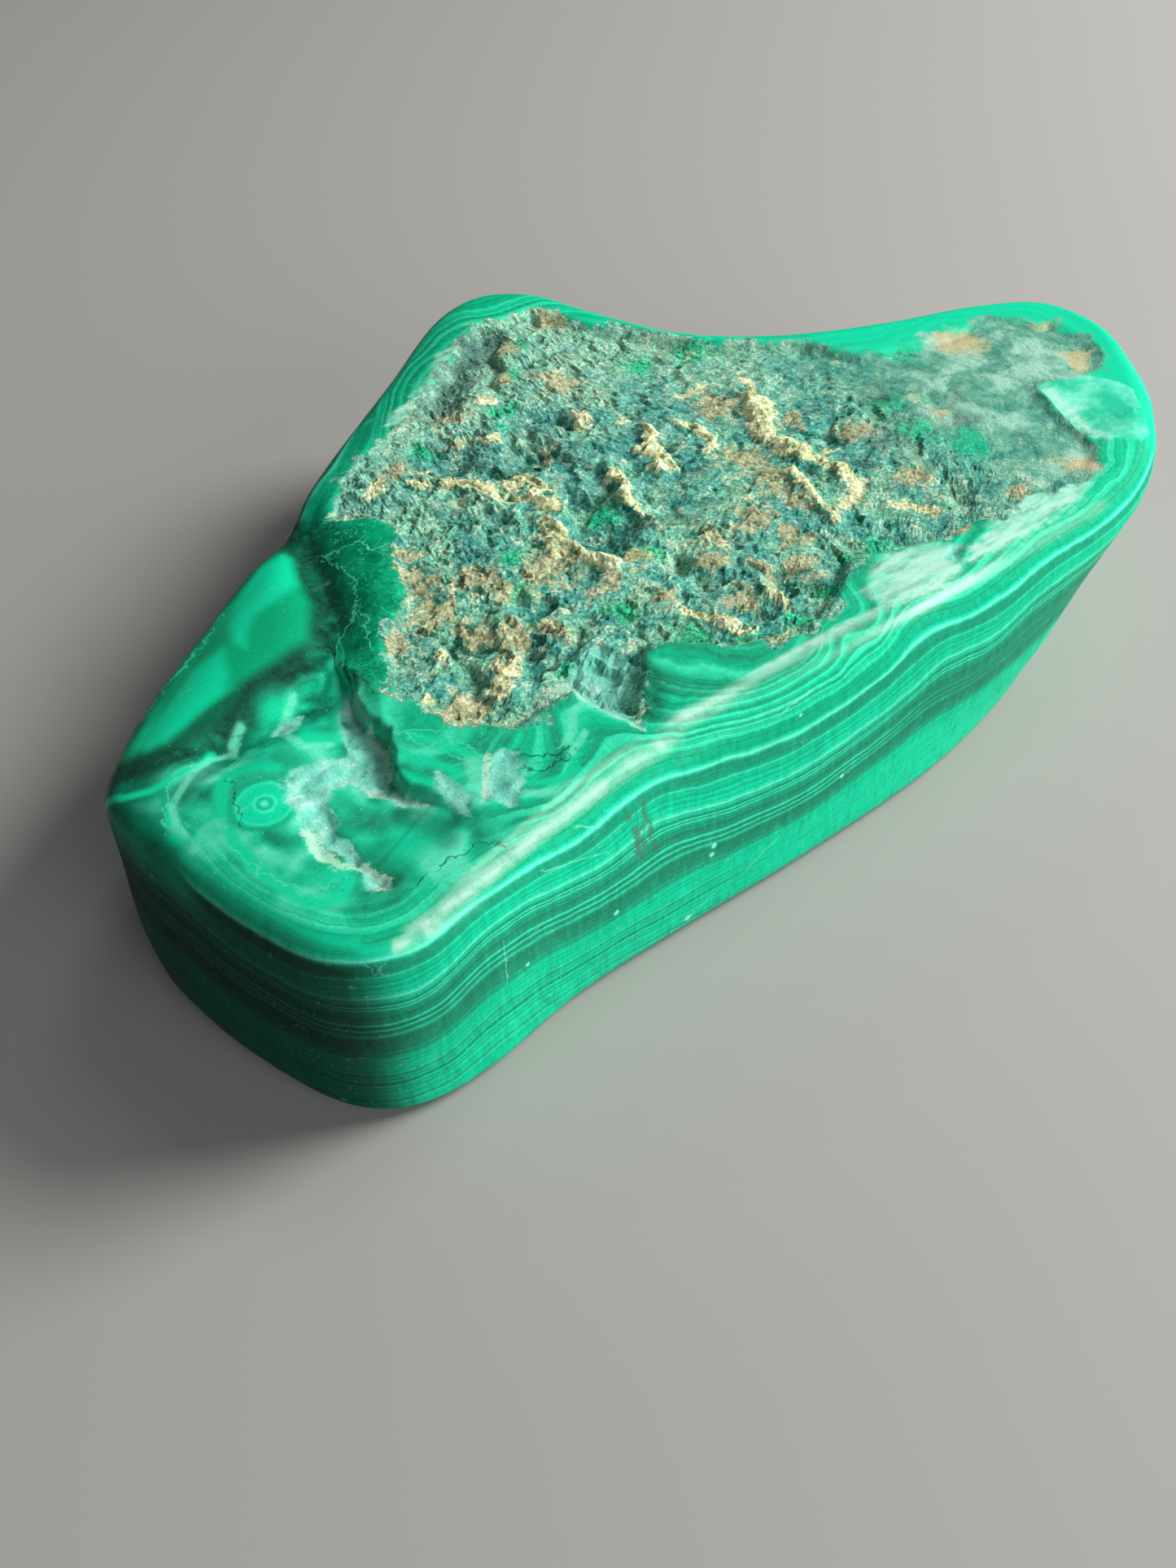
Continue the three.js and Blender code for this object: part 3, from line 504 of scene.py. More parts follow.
BLUE = (
    (3.1, 7.1, 2.0), (9.0, 5.5, 2.4), (0.3, 2.6, 1.8), (15.1, 3.2, 1.5), (17.8, -5.8, 1.6),
    (1.9, -6.9, 1.8), (-7.7, -6.3, 2.4), (-17.4, -2.0, 2.4), (-31.2, -12.3, 1.1), (6.0, -3.4, 2.4),
    (-9.6, 8.0, 4.2), (-4.0, 4.6, 4.0), (-2.0, 9.6, 3.2), (-13.0, 11.0, 3.4), (3.6, 1.6, 3.4),
    (9.4, 9.0, 3.0), (-5.4, 0.4, 3.0), (21.0, -4.4, 3.0), (26.0, -10.6, 2.4), (0.6, -22.0, 2.0),
)
DUSK = (
    (2.6, 25.4, 1.7), (-0.2, 23.2, 2.4), (-3.2, 20.6, 2.2), (-6.6, 18.4, 1.6), (-10.6, 17.2, 1.5),
    (-8.2, 19.2, 1.7), (-5.4, 21.4, 1.9), (-2.6, 23.6, 2.1), (0.4, 26.0, 1.9), (22.4, -12.6, 2.6),
    (26.4, -6.4, 2.2), (30.0, -15.6, 2.0), (18.4, -13.4, 1.8),
)

# Cream streaks of the crust, with their half widths
CREAM = (
    (((0.6, 7.4), (2.6, 9.0)), 0.6),
    (((-7.9, 10.2), (-6.9, 9.4)), 0.6),
    (((-4.6, 16.0), (-3.7, 16.5)), 0.6),
    (((-21.0, 9.6), (-19.4, 10.2)), 0.65),
    (((-15.4, 10.6), (-14.5, 9.9)), 0.5),
    (((-17.6, 7.9), (-16.2, 7.6)), 0.6),
    (((4.0, 6.0), (5.0, 6.5)), 0.6),
    (((-14.2, 6.8), (-13.5, 4.6), (-12.6, 2.6)), 0.75),
    (((-12.2, 1.4), (-11.4, 0.5), (-10.2, -0.3)), 0.7),
    (((-10.4, 3.0), (-8.8, 3.2), (-8.6, 1.5), (-9.2, -0.2), (-10.0, -1.7)), 0.9),
    (((-11.2, -4.2), (-11.8, -5.6), (-12.1, -7.2), (-11.9, -8.2), (-10.1, -10.0)), 1.0),
    (((-1.5, -1.2), (-2.3, -3.7), (-3.1, -8.2)), 0.75),
    (((5.6, 2.9), (3.5, 0.9), (3.3, -0.4), (4.4, -2.0), (1.8, -2.0)), 0.6),
    (((8.9, 2.6), (10.5, 0.2), (8.4, -2.2)), 0.6),
    (((17.5, 0.6), (16.2, -0.8), (14.7, -4.1), (13.9, -6.5), (14.8, -8.6)), 1.1),
    (((19.6, 5.4), (18.9, 2.2)), 0.6),
    (((13.0, 6.1), (14.8, 5.8)), 0.6),
    (((16.9, -9.5), (15.4, -11.5), (15.8, -15.0), (13.4, -16.0)), 0.7),
    (((12.0, -11.3), (11.3, -14.5), (10.5, -17.8)), 0.6),
    (((-26.6, -10.9), (-27.8, -11.5)), 0.6),
    (((-30.3, -14.0), (-31.0, -14.6)), 0.5),
    (((-26.3, -17.0), (-24.6, -16.2), (-23.0, -15.9)), 0.6),
    (((-1.5, -21.1), (-0.9, -23.4)), 0.6),
    (((-6.0, -24.0), (-6.8, -21.4), (-8.4, -19.6)), 0.6),
    (((42.8, -9.9), (42.1, -12.8)), 0.5),
    (((28.4, -9.4), (29.0, -9.8)), 0.5),
    (((18.6, -22.3), (16.6, -19.8)), 0.5),
)

# Areas of the finish: the attribute, its rings and how softly they end
AREAS = (
    ("pillow", PILLOW, 0.8), ("veined", VEINED, 0.7), ("misty", MISTY, 1.8), ("lobes", LOBES, 0.7),
    ("half", HALF_LOBES, 1.2), ("milk", MILK_AND_SHEEN, 1.1), ("facet", LOBE_FACET, 0.6),
)
# How far a place stands out: the attribute, and how many times its surroundings are averaged
SURROUNDINGS = (("stands", 26), ("nook", 4))


# Shape functions. Each takes arrays of places and gives an array.

def smooth_step(start, stop, value):
    t = np.clip((value - start) / (stop - start), 0, 1)
    return t * t * (3 - 2 * t)


def hump(distance, width):
    return np.exp(-((distance / width) ** 2))


def spot(x, y, middle_x, middle_y, radius):
    """1 at a place, falling off with the radius."""
    return hump(np.hypot(x - middle_x, y - middle_y), radius)


def lattice_value(i, j, seed):
    """A number between 0 and 1 that is always the same for one lattice point and seed."""
    wave = np.sin(i * 127.1 + j * 311.7 + seed * 74.7) * 43758.5453
    return wave - np.floor(wave)


def noise(x, y, seed):
    """Smooth noise between -1 and 1 with swells about one unit apart."""
    i, j = np.floor(x), np.floor(y)
    sx, sy = smooth_step(0, 1, x - i), smooth_step(0, 1, y - j)
    near = lattice_value(i, j, seed) * (1 - sx) + lattice_value(i + 1, j, seed) * sx
    far = lattice_value(i, j + 1, seed) * (1 - sx) + lattice_value(i + 1, j + 1, seed) * sx
    return 2 * (near * (1 - sy) + far * sy) - 1


def waves(x, y, *layers):
    """Noise of some layers, each given by its spacing, height and seed."""
    return sum(height * noise(x / spacing, y / spacing, seed) for spacing, height, seed in layers)


def seed_points(x, y, seed):
    """The nine lattice cells round each place, and how far off the seed point of each lies."""
    for a in (-1, 0, 1):
        for b in (-1, 0, 1):
            i, j = np.floor(x) + a, np.floor(y) + b
            yield i, j, i + lattice_value(i, j, seed) - x, j + lattice_value(i, j, seed + 1) - y


def lumps(x, y, seed):
    """Rounded lumps, one to a cell: 1 at a lump's middle and about 0 between lumps."""
    squares = [dx * dx + dy * dy for _, _, dx, dy in seed_points(x, y, seed)]
    return 1 - np.minimum(np.min(squares, axis=0), 1)


def chunks(x, y, seed):
    """Broken blocks, one to a cell, each with its own height and tilt."""
    nearest, value = np.full(np.shape(x), np.inf), np.zeros(np.shape(x))
    for i, j, dx, dy in seed_points(x, y, seed):
        tilt_x, tilt_y, height = (lattice_value(i, j, seed + k) - 0.5 for k in (2, 3, 4))
        closer = dx * dx + dy * dy < nearest
        nearest = np.where(closer, dx * dx + dy * dy, nearest)
        value = np.where(closer, height + CHUNK_TILT * tilt_x * dx + CHUNK_TILT * tilt_y * dy, value)
    return value


def near_line(x, y, line):
    """Distance to a line of points, the side of it (left is positive) and how far along it is."""
    best = np.full(np.shape(x), np.inf)
    side, along = np.ones(np.shape(x)), np.zeros(np.shape(x))
    for k, ((ax, ay), (bx, by)) in enumerate(zip(line, line[1:])):
        t = ((x - ax) * (bx - ax) + (y - ay) * (by - ay)) / ((bx - ax) ** 2 + (by - ay) ** 2)
        t = np.clip(t, 0, 1)
        distance = np.hypot(x - ax - t * (bx - ax), y - ay - t * (by - ay))
        closer = distance < best
        turn = np.sign((bx - ax) * (y - ay) - (by - ay) * (x - ax))
        best = np.where(closer, distance, best)
        side = np.where(closer, turn, side)
        along = np.where(closer, k + t, along)
    return best, side, along


def away(x, y, line):
    """Distance to a line of points."""
    return near_line(x, y, line)[0]


def inside_depth(x, y, ring):
    """Distance to a closed ring of points, positive inside it and negative outside."""
    inside = np.zeros(np.shape(x), bool)
    closed = (*ring, ring[0])
    for (ax, ay), (bx, by) in zip(closed, closed[1:]):
        if ay != by:
            inside ^= ((ay > y) != (by > y)) & (x < ax + (y - ay) / (by - ay) * (bx - ax))
    distance = away(x, y, closed)
    return np.where(inside, distance, -distance)


def path_height(x, path):
    """A smooth curve through the points of a path, at each x."""
    px, pz = np.array(path, float).T
    slope = np.gradient(pz, px)
    k = np.clip(np.searchsorted(px, x) - 1, 0, len(px) - 2)
    width = px[k + 1] - px[k]
    t = (x - px[k]) / width
    start = (2 * t**3 - 3 * t**2 + 1) * pz[k] + (t**3 - 2 * t**2 + t) * width * slope[k]
    return start + (3 * t**2 - 2 * t**3) * pz[k + 1] + (t**3 - t**2) * width * slope[k + 1]


class Side:
    """The stone's outline as a closed curve, read by its share of the whole length."""

    def __init__(self):
        stations = np.array(OUTLINE)
        count = len(stations)
        s = np.arange(count * CURVE_STEPS + 1) / CURVE_STEPS
        k = np.floor(s).astype(int) % count
        t = (s - np.floor(s))[:, None]
        before, here = stations[(k - 1) % count], stations[k]
        after, later = stations[(k + 1) % count], stations[(k + 2) % count]
        curve = 0.5 * (2 * here + (after - before) * t
                       + (2 * before - 5 * here + 4 * after - later) * t**2
                       + (3 * here - before - 3 * after + later) * t**3)
        curve[:, 3] = (here + (after - here) * smooth_step(0, 1, t))[:, 3]
        length = np.concatenate([[0], np.cumsum(np.hypot(*np.diff(curve[:, :2], axis=0).T))])
        self.share = length / length[-1]
        self.curve = curve
        self.tangent = np.gradient(curve[:, :2], self.share, axis=0)
        self.tangent[[0, -1]] = (self.tangent[1] + self.tangent[-2]) / 2
        self.tangent /= np.hypot(*self.tangent.T)[:, None]
        self.front, self.lobe, self.back = (
            self.share[corner * CURVE_STEPS] for corner in (FRONT_CORNER, LOBE_CORNER, BACK_CORNER))
        self.ring = tuple(map(tuple, curve[:-1:RING_STEP, :2].tolist()))

    def read(self, t, values):
        return np.interp(np.mod(t, 1.0), self.share, values)

    def point(self, t, inset):
        tx, ty = self.read(t, self.tangent[:, 0]), self.read(t, self.tangent[:, 1])
        return self.read(t, self.curve[:, 0]) - inset * ty, self.read(t, self.curve[:, 1]) + inset * tx

    def draw_in(self, t):
        return self.read(t, self.curve[:, 2])

    def rim(self, t):
        return self.read(t, self.curve[:, 3])


SIDE = Side()


def weave(u, v):
    """Places of the top, woven between the four sides of the outline: u along it and v across."""
    def at(t):
        return np.array(SIDE.point(t, SIDE.rim(t)))
    front, back = at(SIDE.front + u * (SIDE.lobe - SIDE.front)), at(1 - u * (1 - SIDE.back))
    left, right = at(SIDE.front * (1 - v)), at(SIDE.lobe + v * (SIDE.back - SIDE.lobe))
    corners = [at(np.array([t]))[:, :1] for t in (SIDE.front, SIDE.lobe, 0.0, SIDE.back)]
    return ((1 - v) * front + v * back + (1 - u) * left + u * right
            - (1 - u) * (1 - v) * corners[0] - u * (1 - v) * corners[1]
            - (1 - u) * v * corners[2] - u * v * corners[3])


def side_share(u, v):
    """Where round the outline a place on the edge of the top's grid lies."""
    edge = np.where(u < 0.5, SIDE.front * (1 - v), SIDE.lobe + v * (SIDE.back - SIDE.lobe))
    edge = np.where(v == 1, 1 - u * (1 - SIDE.back), edge)
    return np.where(v == 0, SIDE.front + u * (SIDE.lobe - SIDE.front), edge)


def facet_drop(x, y):
    (ax, ay), (bx, by) = FACET_START, FACET_END
    across = ((by - ay) * (x - ax) - (bx - ax) * (y - ay)) / math.hypot(bx - ax, by - ay)
    outward = (across + np.hypot(across, FACET_SOFTNESS)) / 2
    return FACET_SLOPE * outward + FACET_CURVE * outward * outward


def ledge_drop(x, y, line, drops, reach):
    distance, side, along = near_line(x, y, line)
    drop = np.interp(along, np.arange(len(line)), drops)
    right = -side * distance + waves(x, y, LEDGE_JAG)
    return drop * smooth_step(-LEDGE_RUN, LEDGE_RUN, right) * hump(np.maximum(right, 0), reach)


def polished_height(x, y):
    z = TOP - facet_drop(x, y) - sum(ledge_drop(x, y, *ledge) for ledge in LEDGES)
    z = z - GROOVE_DEPTH * hump(away(x, y, GROOVE), GROOVE_WIDTH)
    for *place, height in SWELLS:
        z = z + height * spot(x, y, *place)
    return z


def wandered(x, y):
    """Places moved about a little, so that shapes drawn from them come out irregular."""
    wx, wy = x, y
    for spacing, distance, seed in WANDER:
        wx = wx + waves(x, y, (spacing, distance, seed))
        wy = wy + waves(x, y, (spacing, distance, seed + 1))
    return wx, wy


def worn_down(relief, least, ratio):
    """Relief of which what stands above a height is worn to a share of it."""
    return np.where(relief > least, least + ratio * (relief - least), relief)


def roughness(x, y):
    """How rough the crust is at a place, as a share."""
    share = sum(extra * spot(x, y, *place) for *place, extra in ROUGH_SPOTS)
    return np.minimum(ROUGH_LEAST + share, ROUGH_MOST)


def crust_relief(x, y):
    left = 1 - WORN_SHARE * smooth_step(*WORN_REACH, x)
    rough = roughness(x, y)
    relief = waves(x, y, SWELL) - left * CRUST_DEPTH
    for spacing, height, seed in LUMPS:
        relief = relief + left * rough * height * (lumps(x / spacing, y / spacing, seed) - LUMP_MIDDLE)
    wx, wy = wandered(x, y)
    for line, height, width in RIDGES:
        relief = relief + height * hump(away(wx, wy, line), width)
    for line, depth, width in GULLIES:
        relief = relief - depth * hump(away(wx, wy, line), width)
    for *place, depth in PITS:
        relief = relief - depth * spot(wx, wy, *place)
    return worn_down(relief, WORN_ABOVE, WORN_RATIO)


def fine_relief(x, y):
    """Broken blocks and grains of the crust, finer than the solid shows."""
    wx, wy = wandered(x, y)
    turned_x, turned_y = wx + BLOCK_TURN * wy, wy - BLOCK_TURN * wx
    relief = sum(height * chunks(turned_x / spacing, turned_y / spacing, seed)
                 for spacing, height, seed in BLOCKS)
    spacing, height, seed = GRAINS
    relief += height * (lumps(wx / spacing, wy / spacing, seed) - LUMP_MIDDLE)
    relief *= np.clip(roughness(x, y) + FINE_LEAST + waves(x, y, FINE_PATCHES), *FINE_LIMITS)
    on_ridge = np.max([hump(away(wx, wy, line), width * RIDGE_REACH)
                       for line, _, width in RIDGES], axis=0)
    spacing, height, seed = CRUMBS
    relief += height * on_ridge * chunks(wx / spacing, wy / spacing, seed)
    relief = worn_down(relief, FINE_WORN_ABOVE, FINE_WORN_RATIO)
    return relief * (1 - FINE_WORN_SHARE * smooth_step(*WORN_REACH, x))


def crust_depth(x, y):
    """How far inside the crust's jagged edge a place is."""
    return inside_depth(x, y, CRUST_EDGE) + waves(x, y, *CRUST_JAG)


def deepest(x, y, rings):
    """How far inside the nearest of some rings a place is."""
    return np.max([inside_depth(x, y, ring) for ring in rings], axis=0)


def break_depth(x, y):
    """How far inside the nearest broken patch a place is."""
    return deepest(x, y, BREAKS) + waves(x, y, *BREAK_JAG)


def growth_layer(x, y, z):
    """Which growth layer a place lies in, in millimetres up from the base."""
    shift = smooth_step(*BACK_FROM, y) * waves(x, y, *BACK_WAVES)
    heights = [path_height(x, path) + LAYER_LIFT + shift for path in LAYER_PATHS]
    heights = [0.5 * heights[0] - LAYERS_UNDER, *heights, heights[-1] + LAYERS_OVER]
    depths = (LAYER_LEAST, *LAYER_MARKS, LAYER_MARKS[-1] + LAYERS_OVER)
    layer = np.full(np.shape(x), LAYER_LEAST)
    for low, high, a, b in zip(heights, heights[1:], depths, depths[1:]):
        layer = np.where(z > low, a + (b - a) * ((z - low) / (high - low)), layer)
    near_top = smooth_step(*LAYERS_TURN, z)
    for *place, height in NODULES:
        layer = layer - near_top * height * spot(x, y, *place)
    inward = np.maximum(inside_depth(x, y, SIDE.ring), 0)
    return layer + near_top * LAYER_FALL * LAYER_FALL_REACH * (1 - np.exp(-inward / LAYER_FALL_REACH))


def soft_area(x, y, rings, softness):
    """1 inside any of the closed rings and 0 outside them, fading over the softness."""
    return smooth_step(-softness, softness, deepest(x, y, rings))


def soft_lines(x, y, lines, outer=1.8, inner=0.5):
    """1 on any of the lines and 0 away from them, fading from the inner to the outer multiple
    of its half width. A line can also have its own strength."""
    return np.max([math.prod(strength) * smooth_step(width * outer, width * inner, away(x, y, line))
                   for line, width, *strength in lines], axis=0)


def soft_spots(x, y, spots):
    """1 in the middle of any of the spots, falling off with its radius."""
    return np.max([spot(x, y, *place) for place in spots], axis=0)


def line_sides(x, y, lines):
    """Distance to the nearest of the lines, and the same distance with the sign of its side."""
    nearest, signed = np.full(np.shape(x), np.inf), np.zeros(np.shape(x))
    for line in lines:
        distance, side, _ = near_line(x, y, line)
        signed = np.where(distance < nearest, distance * side, signed)
        nearest = np.minimum(nearest, distance)
    return nearest, signed


# Building the stone

def ring_places(t, ring):
    """Places round the side: the first rings round the rim, the next go down the wall and
    round its foot to the flat base."""
    radius = SIDE.rim(t)
    ex, ey = SIDE.point(t, radius)
    edge_height = polished_height(ex, ey)
    if ring <= RIM_RINGS:
        angle = ring / RIM_RINGS * math.pi / 2
        x, y = SIDE.point(t, radius * (1 - math.sin(angle)))
        return x, y, edge_height - radius * (1 - math.cos(angle))
    wall_top = edge_height - radius
    wall_ring = ring - RIM_RINGS
    foot_angle = min(max(wall_ring - WALL_RINGS, 0) / FOOT_RINGS, 1) * math.pi / 2
    rounding = FOOT_RADIUS * (1 - math.cos(foot_angle))
    z = wall_top + (FOOT_RADIUS - wall_top) * min(wall_ring / WALL_RINGS, 1)
    z = z - FOOT_RADIUS * math.sin(foot_angle)
    down = 1 - z / wall_top
    swell = (WALL_BULGE + waves(ex + z, ey - z, WALL_WAVE)) * np.sin(math.pi * down)
    x, y = SIDE.point(t, SIDE.draw_in(t) * down - swell + rounding)
    return x, y, z


def top_places(u, v, relief_scale):
    """Places of the top with its crust and its broken patches."""
    x, y = weave(u, v)
    rough = smooth_step(0.0, CRUST_RISE, crust_depth(x, y))
    jitter_x, jitter_y = (JITTER * rough * noise(x * JITTER_FINENESS, y * JITTER_FINENESS, seed)
                          for seed in JITTER_SEEDS)
    x, y = x + jitter_x, y + jitter_y
    crust = smooth_step(0, CRUST_SOFTNESS, inside_depth(x, y, CRUST_EDGE))
    z = polished_height(x, y) + crust * crust_relief(x, y)
    z = z + relief_scale * rough * (fine_relief(x, y) - FINE_SINK)
    spacing, height, seed = CHIPS
    skin = height * chunks(x / spacing, y / spacing, seed) + waves(x, y, CHIP_GRAIN) - CHIP_SINK
    return x, y, z + smooth_step(*CHIP_RISE, break_depth(x, y)) * skin


def set_places(verts, x, y, z):
    for vert, place in zip(verts, np.stack([x, y, z], axis=1).tolist()):
        vert.co = place


def stone_bmesh(relief_scale):
    """The stone's surface in millimetres. A grid is moved to the top's places, and its edge is
    extruded ring by ring down the side and closed by the flat base."""
    bm = bmesh.new()
    bmesh.ops.create_grid(bm, x_segments=CELLS_LONG, y_segments=CELLS_ACROSS, size=0.5)
    share = bm.verts.layers.float.new("share")
    grid = np.array([vert.co[:2] for vert in bm.verts]) + 0.5
    u, v = (np.round(grid * (CELLS_LONG, CELLS_ACROSS)) / (CELLS_LONG, CELLS_ACROSS)).T
    for vert, t in zip(bm.verts, side_share(u, v).tolist()):
        vert[share] = t
    set_places(bm.verts, *top_places(u, v, relief_scale))
    edges = [edge for edge in bm.edges if edge.is_boundary]
    for ring in range(1, RIM_RINGS + WALL_RINGS + FOOT_RINGS + 1):
        grown = bmesh.ops.extrude_edge_only(bm, edges=edges)["geom"]
        verts = [item for item in grown if isinstance(item, bmesh.types.BMVert)]
        edges = [item for item in grown if isinstance(item, bmesh.types.BMEdge) and item.is_boundary]
        set_places(verts, *ring_places(np.array([vert[share] for vert in verts]), ring))
    bmesh.ops.contextual_create(bm, geom=edges)
    bm.verts.layers.float.remove(share)
    bmesh.ops.recalc_face_normals(bm, faces=bm.faces)
    return bm


def mesh_places(mesh):
    places = np.zeros(len(mesh.vertices) * 3, np.float64)
    mesh.vertices.foreach_get("co", places)
    return places.reshape(-1, 3)


def blurred(field, times):
    """A grid of values averaged with its neighbours a number of times."""
    for _ in range(times):
        padded = np.pad(field, 1, mode="edge")
        field = (padded[:-2, 1:-1] + padded[2:, 1:-1] + padded[1:-1, :-2] + padded[1:-1, 2:]
                 + 2 * field) / 6
    return field


def dullness(x, y, near_top, rim_drop):
    """How little a place shines: the groove, worn places, the walls and the far rim are matt."""
    dull = np.max([
        smooth_step(*MATT_GROOVE, away(x, y, GROOVE)), soft_area(x, y, VEINED, MATT_SOFTNESS),
        PILLOW_DULL * soft_area(x, y, PILLOW, MATT_SOFTNESS), soft_spots(x, y, DULL_SPOTS),
        WALL_DULL * smooth_step(*FAR_RIM, y) * smooth_step(*RIM_DROP, rim_drop),
        WALL_DULL * smooth_step(*MATT_RIGHT, x), smooth_step(*MATT_LOBE, x)], axis=0)
    return np.maximum(near_top * dull, WALL_DULL * smooth_step(*MATT_WALL_DROP, rim_drop))


def marks(x, y, z):
    """What the finish needs to know of each place: its growth layer, its depth inside the crust
    and the broken patches, how far it stands above or below its surroundings, and how much of
    each marking it has."""
    columns, rows = CELLS_LONG + 1, CELLS_ACROSS + 1
    on_top = np.arange(len(x)) < columns * rows
    rim_drop = polished_height(x, y) - z
    near_top = smooth_step(*TOP_DROP, rim_drop)
    on_front = smooth_step(*FRONT, y) * smooth_step(*WALL_DROP, rim_drop)
    wx, wy = wandered(x, y)
    fields = {name: near_top * soft_area(x, y, rings, softness) for name, rings, softness in AREAS}
    for name, lines in (("bright", BRIGHT_LINES), ("lips", LIPS), ("haze", PAINTED_RIM_SHEEN), ("pale", PALE_LINES)):
        fields[name] = near_top * soft_lines(x, y, lines)
    for name, spots in (("tan", TAN), ("green", GREEN), ("blue", BLUE), ("dusk", DUSK)):
        fields[name] = near_top * soft_spots(wx, wy, spots)
    for name, times in SURROUNDINGS:
        top = z[on_top].reshape(rows, columns)
        fields[name] = np.zeros(len(x))
        fields[name][on_top] = (top - blurred(top, times)).ravel()
    for name, lines, across, shown in (
            ("line", THIN_LINES, y, near_top), ("crack", CRACKS, y, near_top),
            ("wall_crack", WALL_CRACKS, z, on_front), ("scratch", SCRATCHES, z, on_front)):
        nearest, fields[name] = line_sides(x, across, lines)
        fields[name + "_near"] = nearest + OUT_OF_REACH * (1 - shown)
    # Pits and gullies, which get painted shade
    pits = soft_spots(wx, wy, [pit[:3] for pit in PITS])
    gullies = soft_lines(wx, wy, [(line, GULLY_DARK * width) for line, _, width in GULLIES])
    # Painted shade on the dark left end and on the back corner's rim
    dark_end = smooth_step(*DARK_END, x) * smooth_step(*DARK_DROP, rim_drop) * smooth_step(*DARK_SIDE, y)
    painted_back_shade = BACK_RIM_PAINTED_SHADE * smooth_step(*BACK_RIM, y) * smooth_step(*BACK_RIM_RIGHT, x)
    lobe_end = smooth_step(*LOBE_END, x + LOBE_SLANT * (y - LOBE_MIDDLE))
    waist = WAIST_PLAIN * smooth_step(*WAIST_BACK, y) * smooth_step(*WAIST_RIGHT, x)
    return fields | {
        "layer": growth_layer(x, y, z),
        "crust": np.where(on_top, crust_depth(x, y), OFF_TOP),
        "broken": np.where(on_top, break_depth(x, y), OFF_TOP),
        "worn": smooth_step(*WORN_REACH, x),
        "shade": near_top * soft_lines(x, y, SHADES, *SHADE_REACH),
        "glow": near_top * soft_spots(x, y, BRIGHT_SPOTS),
        "cream": near_top * soft_lines(wx, wy, CREAM),
        "hollow": near_top * np.maximum(pits, gullies),
        "dull": dullness(x, y, near_top, rim_drop),
        "dark_end": np.maximum(dark_end, painted_back_shade),
        "back": smooth_step(*BACK_PART, y),
        "bullseye": np.hypot(x - BULLSEYE[0], y - BULLSEYE[1]) + OUT_OF_REACH * (1 - near_top),
        "front": on_front,
        "right_part": smooth_step(*RIGHT_PART, x),
        "calm": smooth_step(*CALM_PART, x),
        "plain_end": np.maximum(lobe_end, waist) * smooth_step(*PLAIN_DROP, rim_drop),
    }


def finish_mesh(bm, name):
    """Makes the stone's object with its marks, moved so that its box has the solid's middle, in
    metres. Gives the object and how far it was moved."""
    places = np.array([face.calc_center_median() for face in bm.faces])
    rough = (crust_depth(places[:, 0], places[:, 1]) > FACETS_FROM) & (places[:, 2] > TOP_LEAST)
    for face, facetted in zip(bm.faces, rough.tolist()):
        face.smooth = len(face.verts) < 5 and not facetted
    mesh = bpy.data.meshes.new(name)
    bm.to_mesh(mesh)
    bm.free()
    places = mesh_places(mesh)
    for field, values in marks(*places.T).items():
        attribute = mesh.attributes.new(field, "FLOAT", "POINT")
        attribute.data.foreach_set("value", values.astype(np.float32))
    middle = np.mean(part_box("stone"), axis=0)
    own_middle = (places.min(axis=0) + places.max(axis=0)) / 2 * MM
    shift = (middle - own_middle)[:2]
    places = places * MM
    places[:, :2] += shift
    mesh.vertices.foreach_set("co", places.ravel())
    mesh.update()
    piece = bpy.data.objects.new(name, mesh)
    bpy.context.scene.collection.objects.link(piece)
    return piece, shift


# Finish

# Colours as screen values of 0 to 255: the bands' tones, the walls' and the top's markings,
# and the crust
COLOURS = {
    "deep": (26, 128, 96), "dark": (24, 148, 112), "mid": (0, 174, 128), "bright": (0, 200, 150),
    "light": (56, 222, 176), "pale": (96, 242, 204),
    "plain end": (6, 204, 156), "dark fibre": (10, 124, 94), "light fibre": (40, 212, 168),
    "wall crack": (70, 112, 94), "scratch": (140, 236, 208),
    # The shade colour is partly painted shade in the groove, by the ledge and beside the spike
    "half lobe": (0, 162, 112), "shade": (12, 56, 42), "lobe": (4, 206, 154),
    "pale line": (112, 232, 196), "thin line": (84, 216, 172), "crack": (10, 52, 40),
    # The rim's colour here is a painted reflection; the pale patches' is partly painted sheen
    "milk": (184, 234, 216), "haze": (188, 226, 210), "dust": (150, 226, 204), "pore": (0, 84, 60),
    "back": (176, 224, 196), "speck": (222, 232, 214), "dark speck": (20, 66, 64),
    # The last colour here is painted shade for the crust's low places
    "worn green": (0, 186, 138), "worn tan": (200, 182, 134), "hollow": (18, 66, 62),
    # The lip colour is partly painted light on steep broken faces
    "halo": (20, 196, 144), "lip": (184, 222, 200),
}

